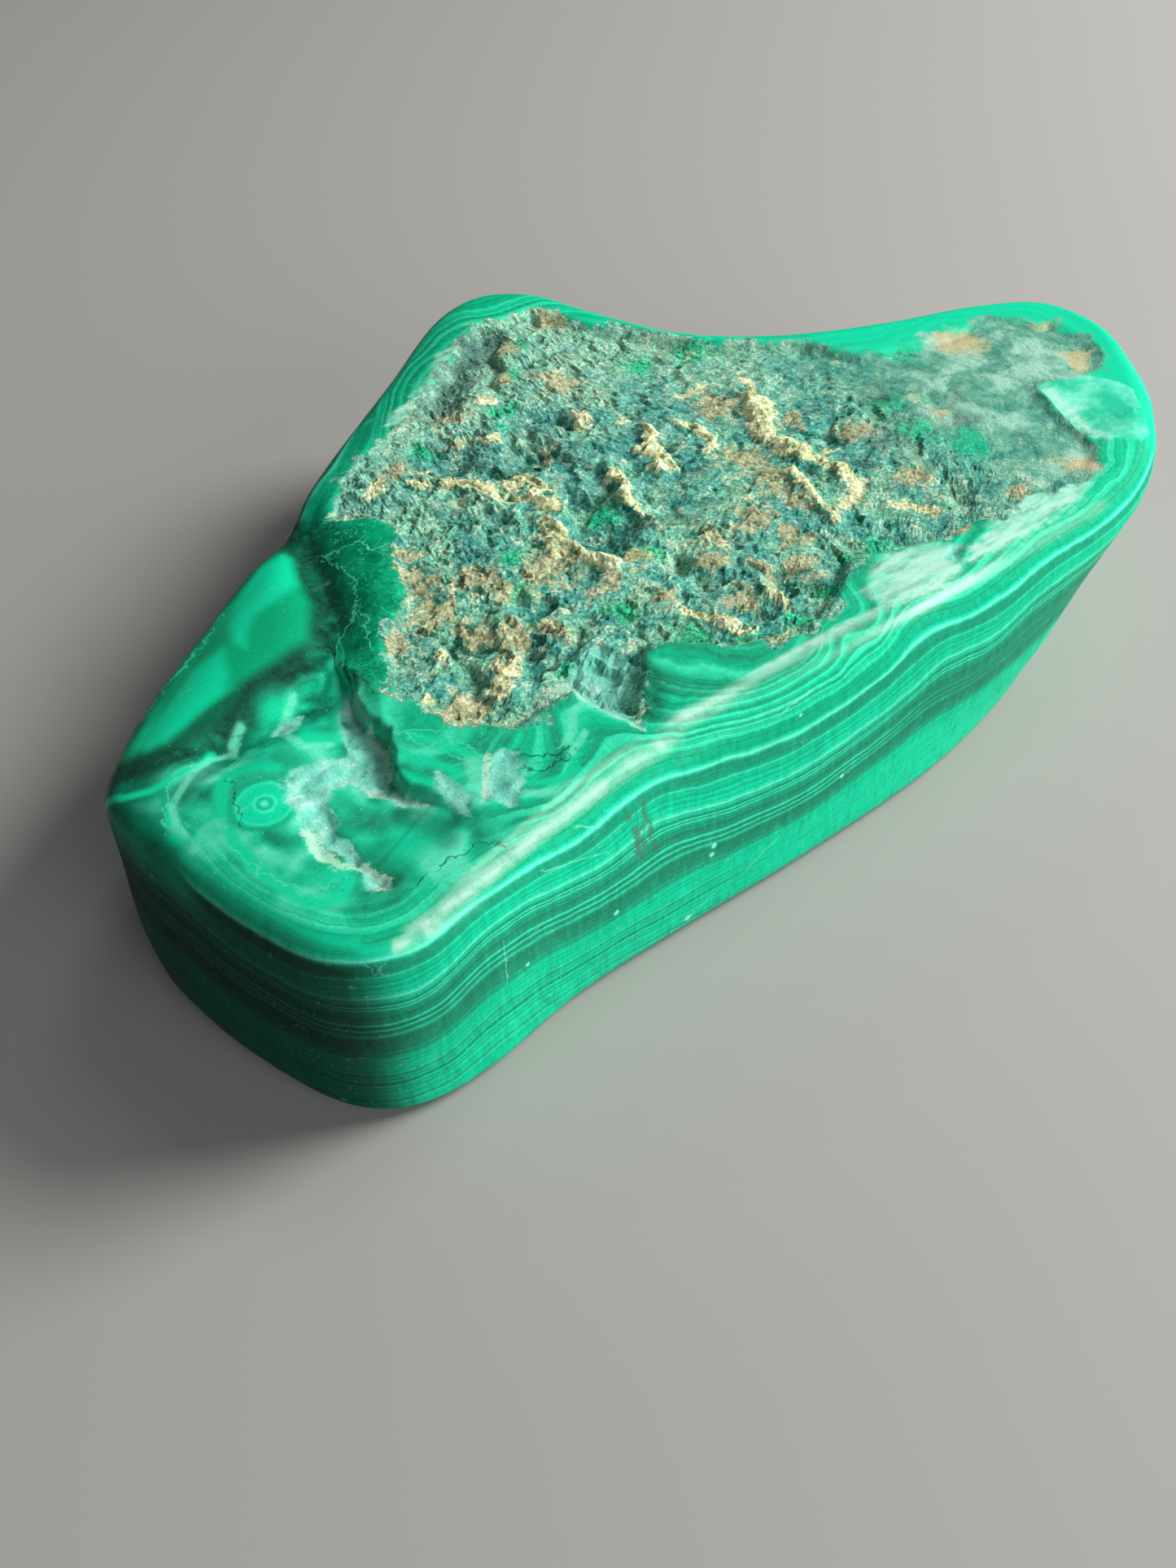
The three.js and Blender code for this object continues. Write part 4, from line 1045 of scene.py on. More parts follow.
# Colour ramps: each stop's position and its screen values
RAMPS = {
    "pillow": ((0.3, 4, 84, 62), (0.5, 0, 112, 82), (0.7, 0, 136, 98)),
    "veined": ((0.3, 0, 88, 60), (0.5, 0, 124, 84), (0.7, 0, 156, 108)),
    "mist": ((0.36, 4, 92, 68), (0.44, 14, 146, 110), (0.54, 30, 192, 148), (0.65, 96, 224, 188)),
    "bullseye": (
        (0.0, 96, 240, 204), (0.08, 70, 232, 190), (0.14, 0, 190, 140), (0.2, 0, 194, 144),
        (0.27, 60, 230, 186), (0.34, 0, 212, 160), (0.58, 0, 210, 158), (0.66, 40, 220, 172),
        (0.74, 0, 180, 132), (0.84, 0, 168, 122), (0.92, 30, 190, 146), (1.0, 30, 150, 116)),
    "glassy": ((0.35, 40, 190, 150), (0.5, 84, 212, 178), (0.65, 130, 232, 206)),
    "warm": ((0.33, 58, 132, 114), (0.415, 98, 174, 148), (0.49, 132, 200, 168),
             (0.57, 168, 220, 188), (0.67, 216, 240, 210)),
    "cool": ((0.33, 32, 114, 106), (0.415, 58, 152, 142), (0.49, 88, 180, 164),
             (0.57, 126, 202, 182), (0.67, 190, 230, 206)),
    "blue": ((0.36, 28, 104, 100), (0.5, 68, 160, 150), (0.62, 124, 202, 188)),
    "green": ((0.3, 0, 164, 112), (0.7, 30, 216, 160)),
    "tan": ((0.34, 156, 136, 90), (0.43, 190, 164, 112), (0.52, 208, 186, 134), (0.64, 224, 208, 164)),
    "cream": ((0.36, 200, 194, 120), (0.48, 238, 236, 172), (0.58, 254, 253, 210)),
    "worn": ((0.37, 40, 98, 86), (0.45, 68, 134, 114), (0.52, 96, 162, 140), (0.6, 150, 200, 180)),
    "dusk": ((0.36, 42, 74, 74), (0.5, 78, 118, 112), (0.64, 120, 160, 148)),
    "chip": ((0.32, 88, 190, 168), (0.44, 122, 220, 198), (0.56, 148, 234, 214), (0.66, 208, 248, 234)),
}

# The tones of the growth layers, and where each is met, in millimetres up from the base
BANDS = (
    (0.0, "bright"), (1.4, "bright"), (1.55, "light"), (1.75, "dark"), (2.0, "bright"), (2.9, "bright"),
    (3.0, "light"), (3.15, "mid"), (3.4, "bright"), (4.1, "bright"), (4.3, "dark"), (4.45, "dark"),
    (4.65, "bright"), (5.3, "bright"), (5.42, "dark"), (5.52, "dark"), (5.62, "light"),
    (5.75, "bright"), (6.9, "bright"), (7.1, "mid"), (7.25, "bright"), (8.0, "dark"), (9.0, "deep"),
    (9.7, "deep"), (9.95, "light"), (10.15, "dark"), (10.4, "deep"), (10.6, "light"), (10.8, "dark"),
    (11.05, "deep"), (11.25, "light"), (11.45, "dark"), (12.2, "deep"), (12.6, "deep"), (12.8, "mid"),
    (13.0, "dark"), (13.2, "light"), (13.36, "deep"), (13.52, "light"), (13.72, "deep"), (13.95, "mid"),
    (14.34, "light"), (14.48, "pale"), (14.66, "light"), (14.85, "bright"), (15.7, "bright"),
    (15.9, "mid"), (16.2, "bright"), (16.45, "light"), (16.62, "mid"), (16.9, "dark"), (17.55, "dark"),
    (17.75, "mid"), (17.86, "pale"), (18.1, "pale"), (18.35, "bright"), (18.8, "mid"), (19.9, "mid"),
    (20.1, "bright"), (20.3, "light"), (20.4, "mid"), (20.7, "bright"), (20.85, "light"),
    (20.95, "mid"), (21.2, "bright"), (21.4, "light"), (21.5, "bright"), (21.7, "mid"),
    (21.9, "bright"), (22.05, "light"), (22.15, "mid"), (22.4, "dark"), (22.6, "bright"),
    (22.8, "light"), (22.9, "mid"), (23.3, "bright"), (23.6, "dark"), (24.0, "mid"), (24.3, "light"),
    (24.45, "mid"), (25.0, "dark"), (25.6, "bright"), (26.0, "light"), (26.2, "mid"), (27.0, "dark"),
    (28.0, "mid"), (29.0, "bright"),
)
RAMP_LIMIT = 30

# Kinds of the groups' sockets. Any other is a plain value.
SOCKET_KINDS = {"Bands": "NodeSocketColor", "Color": "NodeSocketColor",
                "Place": "NodeSocketVector", "Own Place": "NodeSocketVector"}

BULLSEYE_RADIUS = 3.0
BULLSEYE_FADES_FROM = 2.1
# How much of its light the stone keeps where shade is painted on the dark end of its walls and
# on the back corner's rim
PAINTED_SHADE_LEVEL = 0.13
# The middle of the crust's fine height, so that its edge makes no step
HEIGHT_MIDDLE = 1.5
BUMP_DISTANCE = 0.2 * MM


def linear(*screen_values):
    """A colour given by its screen values, as the shader's linear colour."""
    def channel(value):
        share = value / 255
        return share / 12.92 if share <= 0.04045 else ((share + 0.055) / 1.055) ** 2.4
    return (*map(channel, screen_values), 1.0)


class Value:
    """A node's output. A sum, a difference, a product or a share of it is a Math node's output."""

    def __init__(self, nodes, socket):
        self.nodes, self.socket = nodes, socket

    def __add__(self, other):
        return self.nodes.math("ADD", self, other)

    def __radd__(self, other):
        return self.nodes.math("ADD", other, self)

    def __sub__(self, other):
        return self.nodes.math("SUBTRACT", self, other)

    def __rsub__(self, other):
        return self.nodes.math("SUBTRACT", other, self)

    def __mul__(self, other):
        return self.nodes.math("MULTIPLY", self, other)

    def __truediv__(self, other):
        return self.nodes.math("DIVIDE", self, other)

    def __abs__(self):
        return self.nodes.math("ABSOLUTE", self)


class Nodes:
    """Adds nodes to a tree. An input is a number, a tuple of numbers or a Value."""

    def __init__(self, tree):
        self.tree = tree

    def lead(self, value, socket):
        if isinstance(value, Value):
            self.tree.links.new(value.socket, socket)
        else:
            socket.default_value = value

    def add(self, kind, inputs=(), **settings):
        node = self.tree.nodes.new(kind)
        for name, value in settings.items():
            setattr(node, name, value)
        for key, value in dict(inputs).items():
            self.lead(value, node.inputs[key])
        return node

    def value(self, kind, inputs=(), output=0, **settings):
        return Value(self, self.add(kind, inputs, **settings).outputs[output])

    def math(self, operation, a, b=0.0, clamp=False):
        return self.value("ShaderNodeMath", {0: a, 1: b}, operation=operation, use_clamp=clamp)

    def most(self, a, b):
        return self.math("MAXIMUM", a, b)

    def mix(self, factor, a, b, blend="MIX"):
        """A mix of two colours. The second can be the name of one of the COLOURS."""
        b = linear(*COLOURS[b]) if isinstance(b, str) else b
        inputs = {0: factor, 6: a, 7: b}
        return self.value("ShaderNodeMix", inputs, 2, data_type="RGBA", blend_type=blend)

    def step(self, value, start, stop, low=0.0, high=1.0):
        """A value's smooth climb from low to high between start and stop."""
        inputs = {0: value, 1: start, 2: stop, 3: low, 4: high}
        return self.value("ShaderNodeMapRange", inputs, interpolation_type="SMOOTHSTEP")

    def shaded(self, colour, shade):
        """A colour made lighter or darker by a value."""
        grey = self.value("ShaderNodeCombineColor", {0: shade, 1: shade, 2: shade})
        return self.mix(1.0, colour, grey, "MULTIPLY")

    def scaled(self, place, factors):
        return self.value("ShaderNodeVectorMath", {0: place, 1: factors}, operation="MULTIPLY")

    def noise(self, place, scale, detail=2.0, roughness=0.5, distortion=0.0, output="Fac"):
        inputs = {"Vector": place, "Scale": scale, "Detail": detail, "Roughness": roughness,
                  "Distortion": distortion}
        return self.value("ShaderNodeTexNoise", inputs, output)

    def noise_along(self, value, scale, detail, roughness):
        inputs = {"W": value, "Scale": scale, "Detail": detail, "Roughness": roughness}
        return self.value("ShaderNodeTexNoise", inputs, "Fac", noise_dimensions="1D")

    def ramp(self, value, stops):
        """A colour read from a ramp, which is one of the RAMPS or stops like theirs."""
        stops = RAMPS[stops] if isinstance(stops, str) else stops
        node = self.add("ShaderNodeValToRGB", {0: value})
        elements = node.color_ramp.elements
        for k, (position, *screen_values) in enumerate((stops[0], stops[-1], *stops[1:-1])):
            element = elements[k] if k < 2 else elements.new(position)
            element.position, element.color = position, linear(*screen_values)
        return Value(self, node.outputs[0])

    def attribute(self, name):
        settings = {"attribute_name": name, "attribute_type": "GEOMETRY"}
        return self.value("ShaderNodeAttribute", (), "Fac", **settings)

    def group(self, group, **given):
        """A group's outputs. An input that isn't given is read from its attribute."""
        node = self.add("ShaderNodeGroup", node_tree=group)
        for socket in node.inputs:
            name = socket.name.lower().replace(" ", "_")
            self.lead(given[name] if name in given else self.attribute(name), socket)
        return {socket.name: Value(self, socket) for socket in node.outputs}


def new_group(name, inputs, outputs=("Color",)):
    """An empty node group: the group, its nodes, its inputs' values and its output sockets."""
    group = bpy.data.node_groups.new(name, "ShaderNodeTree")
    for direction, sockets in (("INPUT", inputs), ("OUTPUT", outputs)):
        for socket in sockets:
            kind = SOCKET_KINDS.get(socket, "NodeSocketFloat")
            group.interface.new_socket(name=socket, in_out=direction, socket_type=kind)
    nodes = Nodes(group)
    given = {socket.name: Value(nodes, socket) for socket in nodes.add("NodeGroupInput").outputs}
    return group, nodes, given, nodes.add("NodeGroupOutput").inputs


def band_colour(nodes, layer):
    """The bands' colour at a growth layer, from as many ramps as their stops need."""
    colour = None
    for start in range(0, len(BANDS) - 1, RAMP_LIMIT - 1):
        part = BANDS[start:start + RAMP_LIMIT]
        low, high = part[0][0], part[-1][0]
        stops = [((at - low) / (high - low), *COLOURS[tone]) for at, tone in part]
        here = nodes.ramp((layer - low) / (high - low), stops)
        colour = nodes.mix(nodes.math("GREATER_THAN", layer, low), colour, here) if start else here
    return colour


def polished_group():
    """Colour of the polished malachite: wide bands, fine lines and the fibres across them."""
    group, nodes, given, out = new_group("Malachite Bands", ("Layer", "Place", "Fine Lines"))
    place, fine = given["Place"], given["Fine Lines"]
    slow = (nodes.noise(place, 0.16, 2.0) - 0.5) * 0.9
    quick = (nodes.noise(place, 0.9, 3.0) - 0.5) * 0.16
    layer = given["Layer"] + (slow + quick)
    colour = band_colour(nodes, layer)
    lines = nodes.noise_along(layer, 3.4, 4.0, 0.75)
    dark_line = nodes.step(lines, 0.47, 0.36) * fine
    light_line = nodes.step(lines, 0.57, 0.68) * fine
    colour = nodes.mix(dark_line * 0.9, colour, "deep")
    colour = nodes.mix(light_line * 0.6, colour, "light")
    fibre = nodes.noise(nodes.scaled(place, (1.0, 1.0, 0.16)), 1.7, 4.0, 0.62)
    speckle = nodes.noise(place, 7.0, 2.0, 0.6)
    shade = nodes.step(fibre, 0.32, 0.68, 0.86, 1.08) * nodes.step(speckle, 0.3, 0.7, 0.92, 1.1)
    nodes.lead(nodes.shaded(colour, shade), out["Color"])
    return group


def thin_line(nodes, signed, near, half_width):
    """1 on a line whose signed and plain distances are given, fading at its half width."""
    on_line = nodes.step(abs(signed), half_width, half_width * 0.3)
    return on_line * nodes.step(near, 0.9, 0.5)


def wall_marks_group():
    """Lays the front wall's cracks, scratches and nicks over its colour, and paints shade at the dark
    end.
    """
    group, nodes, given, out = new_group("Wall Marks", (
        "Bands", "Place", "Own Place", "Layer", "Wall Crack", "Wall Crack Near", "Scratch",
        "Scratch Near", "Front", "Dark End", "Right Part", "Calm", "Plain End"))
    place = given["Place"]
    slow, quick = nodes.noise(place, 0.9, 3.0, 0.6), nodes.noise(place, 3.0, 3.0, 0.6)
    wander = (quick - 0.5) * 1.3
    width = nodes.step(slow, 0.35, 0.6, 0.02, 0.5)
    crack = thin_line(nodes, given["Wall Crack"] + wander, given["Wall Crack Near"], width)
    # The lowest layers are plain, and the middle ones are dark on the right
    layer = given["Layer"] + (slow - 0.5) * 2.0
    plain = nodes.step(layer, 1.0, 1.6) * nodes.step(layer, 6.4, 5.6)
    colour = nodes.mix(plain * given["Calm"] * 0.75, given["Bands"], "bright")
    veil = nodes.step(layer, 9.4, 10.2) * nodes.step(layer, 12.2, 11.4)
    colour = nodes.mix(veil * given["Right Part"] * 0.8, colour, "deep")
    colour = nodes.mix(given["Plain End"] * 0.85, colour, "plain end")
    # Slanting fibres low on the front
    fibre = nodes.value("ShaderNodeMapping", {
        "Vector": given["Own Place"], "Rotation": (0.0, -0.3, 0.0), "Scale": (1.0, 1.0, 0.26)})
    fibre = nodes.noise(fibre, 1.9, 4.0, 0.66)
    low = nodes.step(layer, 8.5, 5.0, 0.35, 1.0) * given["Front"] * 0.4
    colour = nodes.mix(nodes.step(fibre, 0.47, 0.32) * low, colour, "dark fibre")
    colour = nodes.mix(nodes.step(fibre, 0.53, 0.68) * low, colour, "light fibre")
    # Cracks, scratches and nicks
    colour = nodes.mix(crack * 0.75, colour, "wall crack")
    wander = (slow - 0.5) * 0.5
    width = nodes.step(quick, 0.35, 0.6, 0.02, 0.12)
    scratch = thin_line(nodes, given["Scratch"] + wander, given["Scratch Near"], width)
    own = nodes.add("ShaderNodeSeparateXYZ", {0: given["Own Place"]}).outputs
    own_x, own_z = Value(nodes, own["X"]), Value(nodes, own["Z"])
    nick = 0.0
    for x, z, radius in NICKS:
        squares = nodes.math("POWER", abs(own_x - x), 2.0) + nodes.math("POWER", abs(own_z - z), 2.0)
        distance = nodes.math("SQRT", squares) - wander
        nick = nodes.most(nick, nodes.step(distance, radius, radius * 0.5))
    pale = nodes.most(scratch * 0.42, nick * 0.85) * given["Front"]
    colour = nodes.mix(pale, colour, "scratch")
    # Painted shade on the dark left end and the back corner's rim
    colour = nodes.shaded(colour, nodes.step(given["Dark End"], 0.0, 1.0, 1.0, PAINTED_SHADE_LEVEL))
    nodes.lead(colour, out["Color"])
    return group


def markings_group():
    """Lays the top's nodules, veins, cracks, painted shade and painted sheen over the bands."""
    group, nodes, given, out = new_group("Top Markings", (
        "Bands", "Place", "Pillow", "Veined", "Misty", "Lobes", "Half", "Bright", "Glow", "Shade",
        "Milk", "Facet", "Bullseye", "Line", "Line Near", "Crack", "Crack Near", "Haze", "Pale"))
    place = given["Place"]
    slow, quick = nodes.noise(place, 0.35, 3.0, 0.6), nodes.noise(place, 1.6, 4.0, 0.65)
    # Soft colours of the left facet, the veined part and the ledge
    colour = nodes.mix(given["Pillow"], given["Bands"], nodes.ramp(slow, "pillow"))
    colour = nodes.mix(given["Veined"], colour, nodes.ramp(slow, "veined"))
    vein = abs(nodes.noise(place, 0.7, 2.0, 0.5, 0.6) - 0.5)
    vein = nodes.step(vein, 0.014, 0.002) * given["Veined"]
    colour = nodes.mix(vein * 0.55, colour, "light")
    calm = nodes.noise(place, 0.26, 1.5, 0.5, 0.4)
    mist = nodes.ramp(quick * 0.12 + calm * 0.88, "mist")
    colour = nodes.mix(given["Misty"] * 0.84, colour, mist)
    # Nodules of the left facet, their dark surround, which is partly painted shade, and the bullseye
    colour = nodes.mix(given["Half"] * 0.85, colour, "half lobe")
    # Painted shade in the groove, by the ledge and beside the spike, and dark arcs of the stone
    ragged = (quick - 0.5) * 1.3
    shade = given["Shade"] + ragged * 0.5 * given["Shade"]
    colour = nodes.mix(shade * nodes.step(slow, 0.3, 0.6, 0.7, 0.95), colour, "shade")
    glow = nodes.most(given["Lobes"], nodes.most(given["Bright"], given["Glow"]))
    colour = nodes.mix(glow * 0.92, colour, "lobe")
    pale = given["Pale"] * nodes.step(quick, 0.3, 0.5, 0.25, 0.62)
    colour = nodes.mix(pale, colour, "pale line")
    eye = given["Bullseye"] + (slow - 0.5) * 0.9 + (quick - 0.5) * 0.3
    rings = nodes.ramp(eye / BULLSEYE_RADIUS, "bullseye")
    colour = nodes.mix(nodes.step(eye, BULLSEYE_RADIUS, BULLSEYE_FADES_FROM), colour, rings)
    # Thin lines and cracks
    wander = (nodes.noise(place, 0.8, 3.0, 0.6) - 0.5) * 2.2
    width = nodes.step(slow, 0.3, 0.7, 0.04, 0.2)
    line = thin_line(nodes, given["Line"] + wander, given["Line Near"], width)
    line = line * nodes.step(given["Veined"], 0.0, 1.0, 0.6, 0.8)
    colour = nodes.mix(line, colour, "thin line")
    crack = thin_line(nodes, given["Crack"] + wander, given["Crack Near"], width)
    colour = nodes.mix(crack * 0.7, colour, "crack")
    # The right lobe's facet, pale patches with painted sheen, and the painted sheen along the rim
    facet = nodes.step(given["Facet"] + ragged * 0.5, 0.35, 0.65)
    glassy = nodes.ramp(slow, "glassy")
    colour = nodes.mix(facet * 0.9, colour, glassy)
    drawn = nodes.noise(nodes.scaled(place, (0.25, 1.0, 1.0)), 0.9, 5.0, 0.65) - 0.5
    # Pale patches of the polish, partly painted sheen
    milky_sheen = nodes.step(given["Milk"] + (ragged * 0.5 + drawn * 1.6), 0.2, 1.0)
    colour = nodes.mix(milky_sheen * nodes.step(drawn, -0.16, 0.12, 0.5, 0.92), colour, "milk")
    # Painted reflection of the light along the front rim, in streaks
    streaks = nodes.step(slow + ragged * 0.3, 0.3, 0.65, 0.3, 0.82)
    colour = nodes.mix(given["Haze"] * streaks, colour, "haze")
    # Dust and pores
    dust = nodes.step(nodes.noise(place, 2.6, 4.0, 0.7), 0.65, 0.7)
    dust = dust * nodes.step(given["Misty"], 0.0, 1.0, 0.3, 0.6)
    colour = nodes.mix(dust, colour, "dust")
    pore = nodes.step(nodes.noise(place, 2.2, 4.0, 0.7, 0.4), 0.38, 0.32)
    pore = pore * nodes.step(given["Misty"], 0.0, 1.0, 0.15, 0.3)
    colour = nodes.mix(pore, colour, "pore")
    colour = nodes.shaded(colour, nodes.step(nodes.noise(place, 4.5, 3.0, 0.7), 0.3, 0.7, 0.94, 1.07))
    nodes.lead(colour, out["Color"])
    return group


def crust_group():
    """Colour of the rough crust, with painted shade in its low places, and its fine height."""
    group, nodes, given, out = new_group("Copper Crust", (
        "Place", "Stands", "Nook", "Tan", "Cream", "Green", "Blue", "Dusk", "Worn", "Back", "Crust",
        "Hollow"), ("Color", "Height"))
    place, stands, nook = given["Place"], given["Stands"], given["Nook"]
    broad = nodes.noise(place, 0.22, 3.0, 0.6, 0.3)
    patch = nodes.noise(place, 0.75, 8.0, 0.78, 0.25)
    grain = nodes.noise(place, 4.0, 3.0, 0.7)
    stir = nodes.noise(place, 1.7, 3.0, output="Color")
    stirred = nodes.value("ShaderNodeVectorMath", {0: stir, 1: (0.8, 0.8, 0.8), 2: place},
                          operation="MULTIPLY_ADD")
    # Flakes and smaller bits, each with its own tone
    cells = nodes.add("ShaderNodeTexVoronoi", {"Vector": stirred, "Scale": 1.2}).outputs
    bits = nodes.add("ShaderNodeTexVoronoi", {"Vector": stirred, "Scale": 3.0}).outputs
    flake = nodes.value("ShaderNodeSeparateColor", {0: Value(nodes, cells["Color"])})
    bit = nodes.value("ShaderNodeSeparateColor", {0: Value(nodes, bits["Color"])})
    tone = patch * 0.8 + flake * 0.1 + bit * 0.1
    warm, cool = nodes.ramp(tone, "warm"), nodes.ramp(tone, "cool")
    colour = nodes.mix(nodes.step(broad, 0.42, 0.56, 0.12, 0.9), cool, warm)
    colour = nodes.mix(given["Back"] * 0.35, colour, "back")

    def patches(field, weight, start, stop):
        """Where a marking shows: its field, broken up by noise."""
        ragged = (patch * 0.94 + bit * 0.06 - 0.5) * weight
        return nodes.step(given[field] + ragged, start, stop)

    colour = nodes.mix(patches("Blue", 3.0, 0.3, 0.7) * 0.74, colour, nodes.ramp(tone, "blue"))
    colour = nodes.mix(patches("Green", 4.0, 0.4, 0.8) * 0.85, colour, nodes.ramp(grain, "green"))
    scatter = nodes.step(nodes.noise(place, 0.42, 5.0, 0.66, 0.3), 0.55, 0.66)
    tan = nodes.most(patches("Tan", 4.5, 0.42, 0.62), scatter * 0.4)
    tan = tan * nodes.step(nook, -0.25, -0.05)
    colour = nodes.mix(tan * 0.66, colour, nodes.ramp(tone, "tan"))
    cream = patches("Cream", 4.5, 0.4, 0.7) * nodes.step(nook, -0.3, 0.0)
    colour = nodes.mix(cream * 0.84, colour, nodes.ramp(tone, "cream"))
    # Light specks, most of them near the edge, and dark ones
    speck = nodes.step(nodes.noise(place, 2.6, 3.0, 0.6), 0.67, 0.72)
    border = nodes.step(given["Crust"], 2.0, 0.3, 0.4, 0.9)
    colour = nodes.mix(speck * border, colour, "speck")
    dark_speck = nodes.step(nodes.noise(place, 1.3, 4.0, 0.7), 0.35, 0.27)
    colour = nodes.mix(dark_speck * 0.45, colour, "dark speck")
    # The worn part towards the right lobe, then dusky patches, and painted shade in pits, gullies
    # and low places
    worn = nodes.ramp(broad * 0.7 + patch * 0.3, "worn")
    worn = nodes.mix(patches("Green", 3.0, 0.32, 0.44) * 0.9, worn, "worn green")
    worn = nodes.mix(patches("Tan", 1.6, 0.3, 0.9) * 0.75, worn, "worn tan")
    colour = nodes.mix(given["Worn"] * nodes.step(broad, 0.3, 0.6, 0.6, 0.97), colour, worn)
    dusky = patches("Dusk", 3.0, 0.3, 0.8) * 0.7
    colour = nodes.mix(dusky, colour, nodes.ramp(tone, "dusk"))
    # Painted shade in low places, nooks, pits and gullies
    low = nodes.most(nodes.step(stands, -0.25, -0.9), nodes.step(nook, -0.1, -0.35))
    low = nodes.most(low, patches("Hollow", -4.0, 0.35, 1.1) * 0.6)
    colour = nodes.mix(low * 0.46, colour, "hollow")
    # Grain, with painted shade in the gaps between bits and painted light on raised places, and the
    # fine height
    unworn = 1.0 - given["Worn"] * 0.75
    gap_shade = nodes.step(Value(nodes, bits["Distance"]), 0.8, 0.4, 0.85, 1.12)
    shade = nodes.step(grain, 0.36, 0.64, 0.7, 1.42) * (gap_shade * nodes.step(nook, 0.0, 0.25, 1.0, 1.12))
    nodes.lead(nodes.shaded(colour, 1.0 + (shade - 1.0) * unworn), out["Color"])
    height = patch * 2.4 + (flake * 0.3 + bit * 0.3)
    nodes.lead((height - HEIGHT_MIDDLE) * unworn, out["Height"])
    return group


def stone_material(colours, shift):
    material = bpy.data.materials.new("Polished Malachite")
    material.use_nodes = True
    material.node_tree.nodes.clear()
    nodes = Nodes(material.node_tree)
    place = nodes.value("ShaderNodeMapping", {
        "Vector": nodes.value("ShaderNodeTexCoord", output="Object"),
        "Scale": (1 / MM, 1 / MM, 1 / MM)})
    own_place = nodes.value("ShaderNodeVectorMath", {
        0: place, 1: (shift[0] / MM, shift[1] / MM, 0.0)}, operation="SUBTRACT")
    bands = nodes.group(polished_group(), place=place, fine_lines=colours.fine_lines)["Color"]
    wall = nodes.group(wall_marks_group(), place=place, own_place=own_place, bands=bands)["Color"]
    polish = nodes.group(markings_group(), place=place, bands=wall)["Color"]
    crust = nodes.group(crust_group(), place=place)
    # The crust, the broken patches and their lips end raggedly in the polish
    jag = nodes.noise(place, 1.5, 6.0, 0.82) - 0.5
    worn = nodes.attribute("worn")
    depth = nodes.attribute("crust") + jag * 3.2
    edge = nodes.step(worn, 0.0, 1.0, -0.05, -0.6), nodes.step(worn, 0.0, 1.0, 0.12, 0.8)
    rough = nodes.step(depth, *edge)
    broken = nodes.step(nodes.attribute("broken") + jag * 1.6, -0.25, 0.3)
    chip = nodes.ramp(nodes.noise(place, 0.7, 7.0, 0.74), "chip")
    halo = nodes.step(depth, -1.8, -0.2) * nodes.step(jag, -0.1, 0.1)
    colour = nodes.mix(halo * 0.5, polish, "halo")
    colour = nodes.mix(rough, colour, crust["Color"])
    colour = nodes.mix(broken * 0.9, colour, chip)
    # Pale lips: crushed edges, partly painted light on their steep faces
    lips = nodes.attribute("lips")
    lip = nodes.step(lips + jag * 4.2, 0.5, 0.85) * nodes.step(lips, 0.0, 0.1)
    colour = nodes.mix(lip * 0.7, colour, "lip")
    # The polish is a coat that the matt parts don't have
    matt = nodes.most(rough, nodes.most(broken, lip) * 0.9)
    dull = nodes.most(matt, nodes.attribute("dull"))
    smear = nodes.step(nodes.noise(place, 0.35, 4.0, 0.6), 0.3, 0.75, 1.0, 0.75)
    gloss = nodes.math("MULTIPLY", smear, 1.0 - dull, clamp=True)
    height = nodes.most(rough, broken * 0.65) * crust["Height"]
    bump = nodes.value("ShaderNodeBump", {"Strength": 1.0, "Distance": BUMP_DISTANCE, "Height": height})
    shader = nodes.value("ShaderNodeBsdfPrincipled", {
        "Base Color": colour, "Roughness": 0.6, "Normal": bump, "Specular IOR Level": 0.06,
        "Coat Weight": gloss, "Coat Roughness": 0.19, "Coat IOR": 1.5})
    material.node_tree.nodes.active = nodes.add("ShaderNodeOutputMaterial", {"Surface": shader})
    return material


# Settings, operators and panel

class StoneForm(bpy.types.PropertyGroup):
    relief: bpy.props.FloatProperty(
        name="Fine relief", description="How strong the crust's grains and folds are", default=1.0,
        min=0.0, max=2.0)


class StoneColours(bpy.types.PropertyGroup):
    fine_lines: bpy.props.FloatProperty(
        name="Fine lines", description="How strongly the thin lines show between the wide bands",
        default=0.72, min=0.0, max=1.0, subtype="FACTOR")


class StageLook(bpy.types.PropertyGroup):
    floor_colour: bpy.props.FloatVectorProperty(
        name="Floor colour", description="Colour of the plain floor", default=(0.34, 0.335, 0.32),
        size=3, min=0.0, max=1.0, subtype="COLOR")
    window_power: bpy.props.FloatProperty(
        name="Window light", description="Power of the light that shines on the front rim", default=0.33,
        min=0.0, unit="POWER")
    key_power: bpy.props.FloatProperty(
        name="Key light", description="Power of the soft light from the right", default=6.6,
        min=0.0, unit="POWER")
    fill_power: bpy.props.FloatProperty(
        name="Fill light", description="Power of the wide light on the front", default=7.2, min=0.0,
        unit="POWER")
    sky: bpy.props.FloatProperty(
        name="Sky", description="Strength of the light from all round", default=0.12, min=0.0)
    camera_height: bpy.props.FloatProperty(
        name="Camera height", description="Height of the camera over the floor", default=0.09176,
        unit="LENGTH")


class STONE_OT_build(bpy.types.Operator):
    """Builds the stone's fine surface and its finish in the place of the plain solid"""
    bl_idname = "stone.build"
    bl_label = "Build Stone"

    def execute(self, context):
        scene = context.scene
        piece, shift = finish_mesh(stone_bmesh(scene.stone_form.relief), "malachite_stone")
        piece.data.materials.append(stone_material(scene.stone_colours, shift))
        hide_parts("stone")
        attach(piece, "root")
        return {"FINISHED"}


# The camera stands to the left of the stone's front and looks down on it
CAMERA_PLACE = (-0.06404, -0.07799)
CAMERA_TURN = -37.7
CAMERA_DOWN = 49.0
IMAGE_HEIGHT = 1927
FOCAL_PIXELS = 1600
SENSOR = 36.0

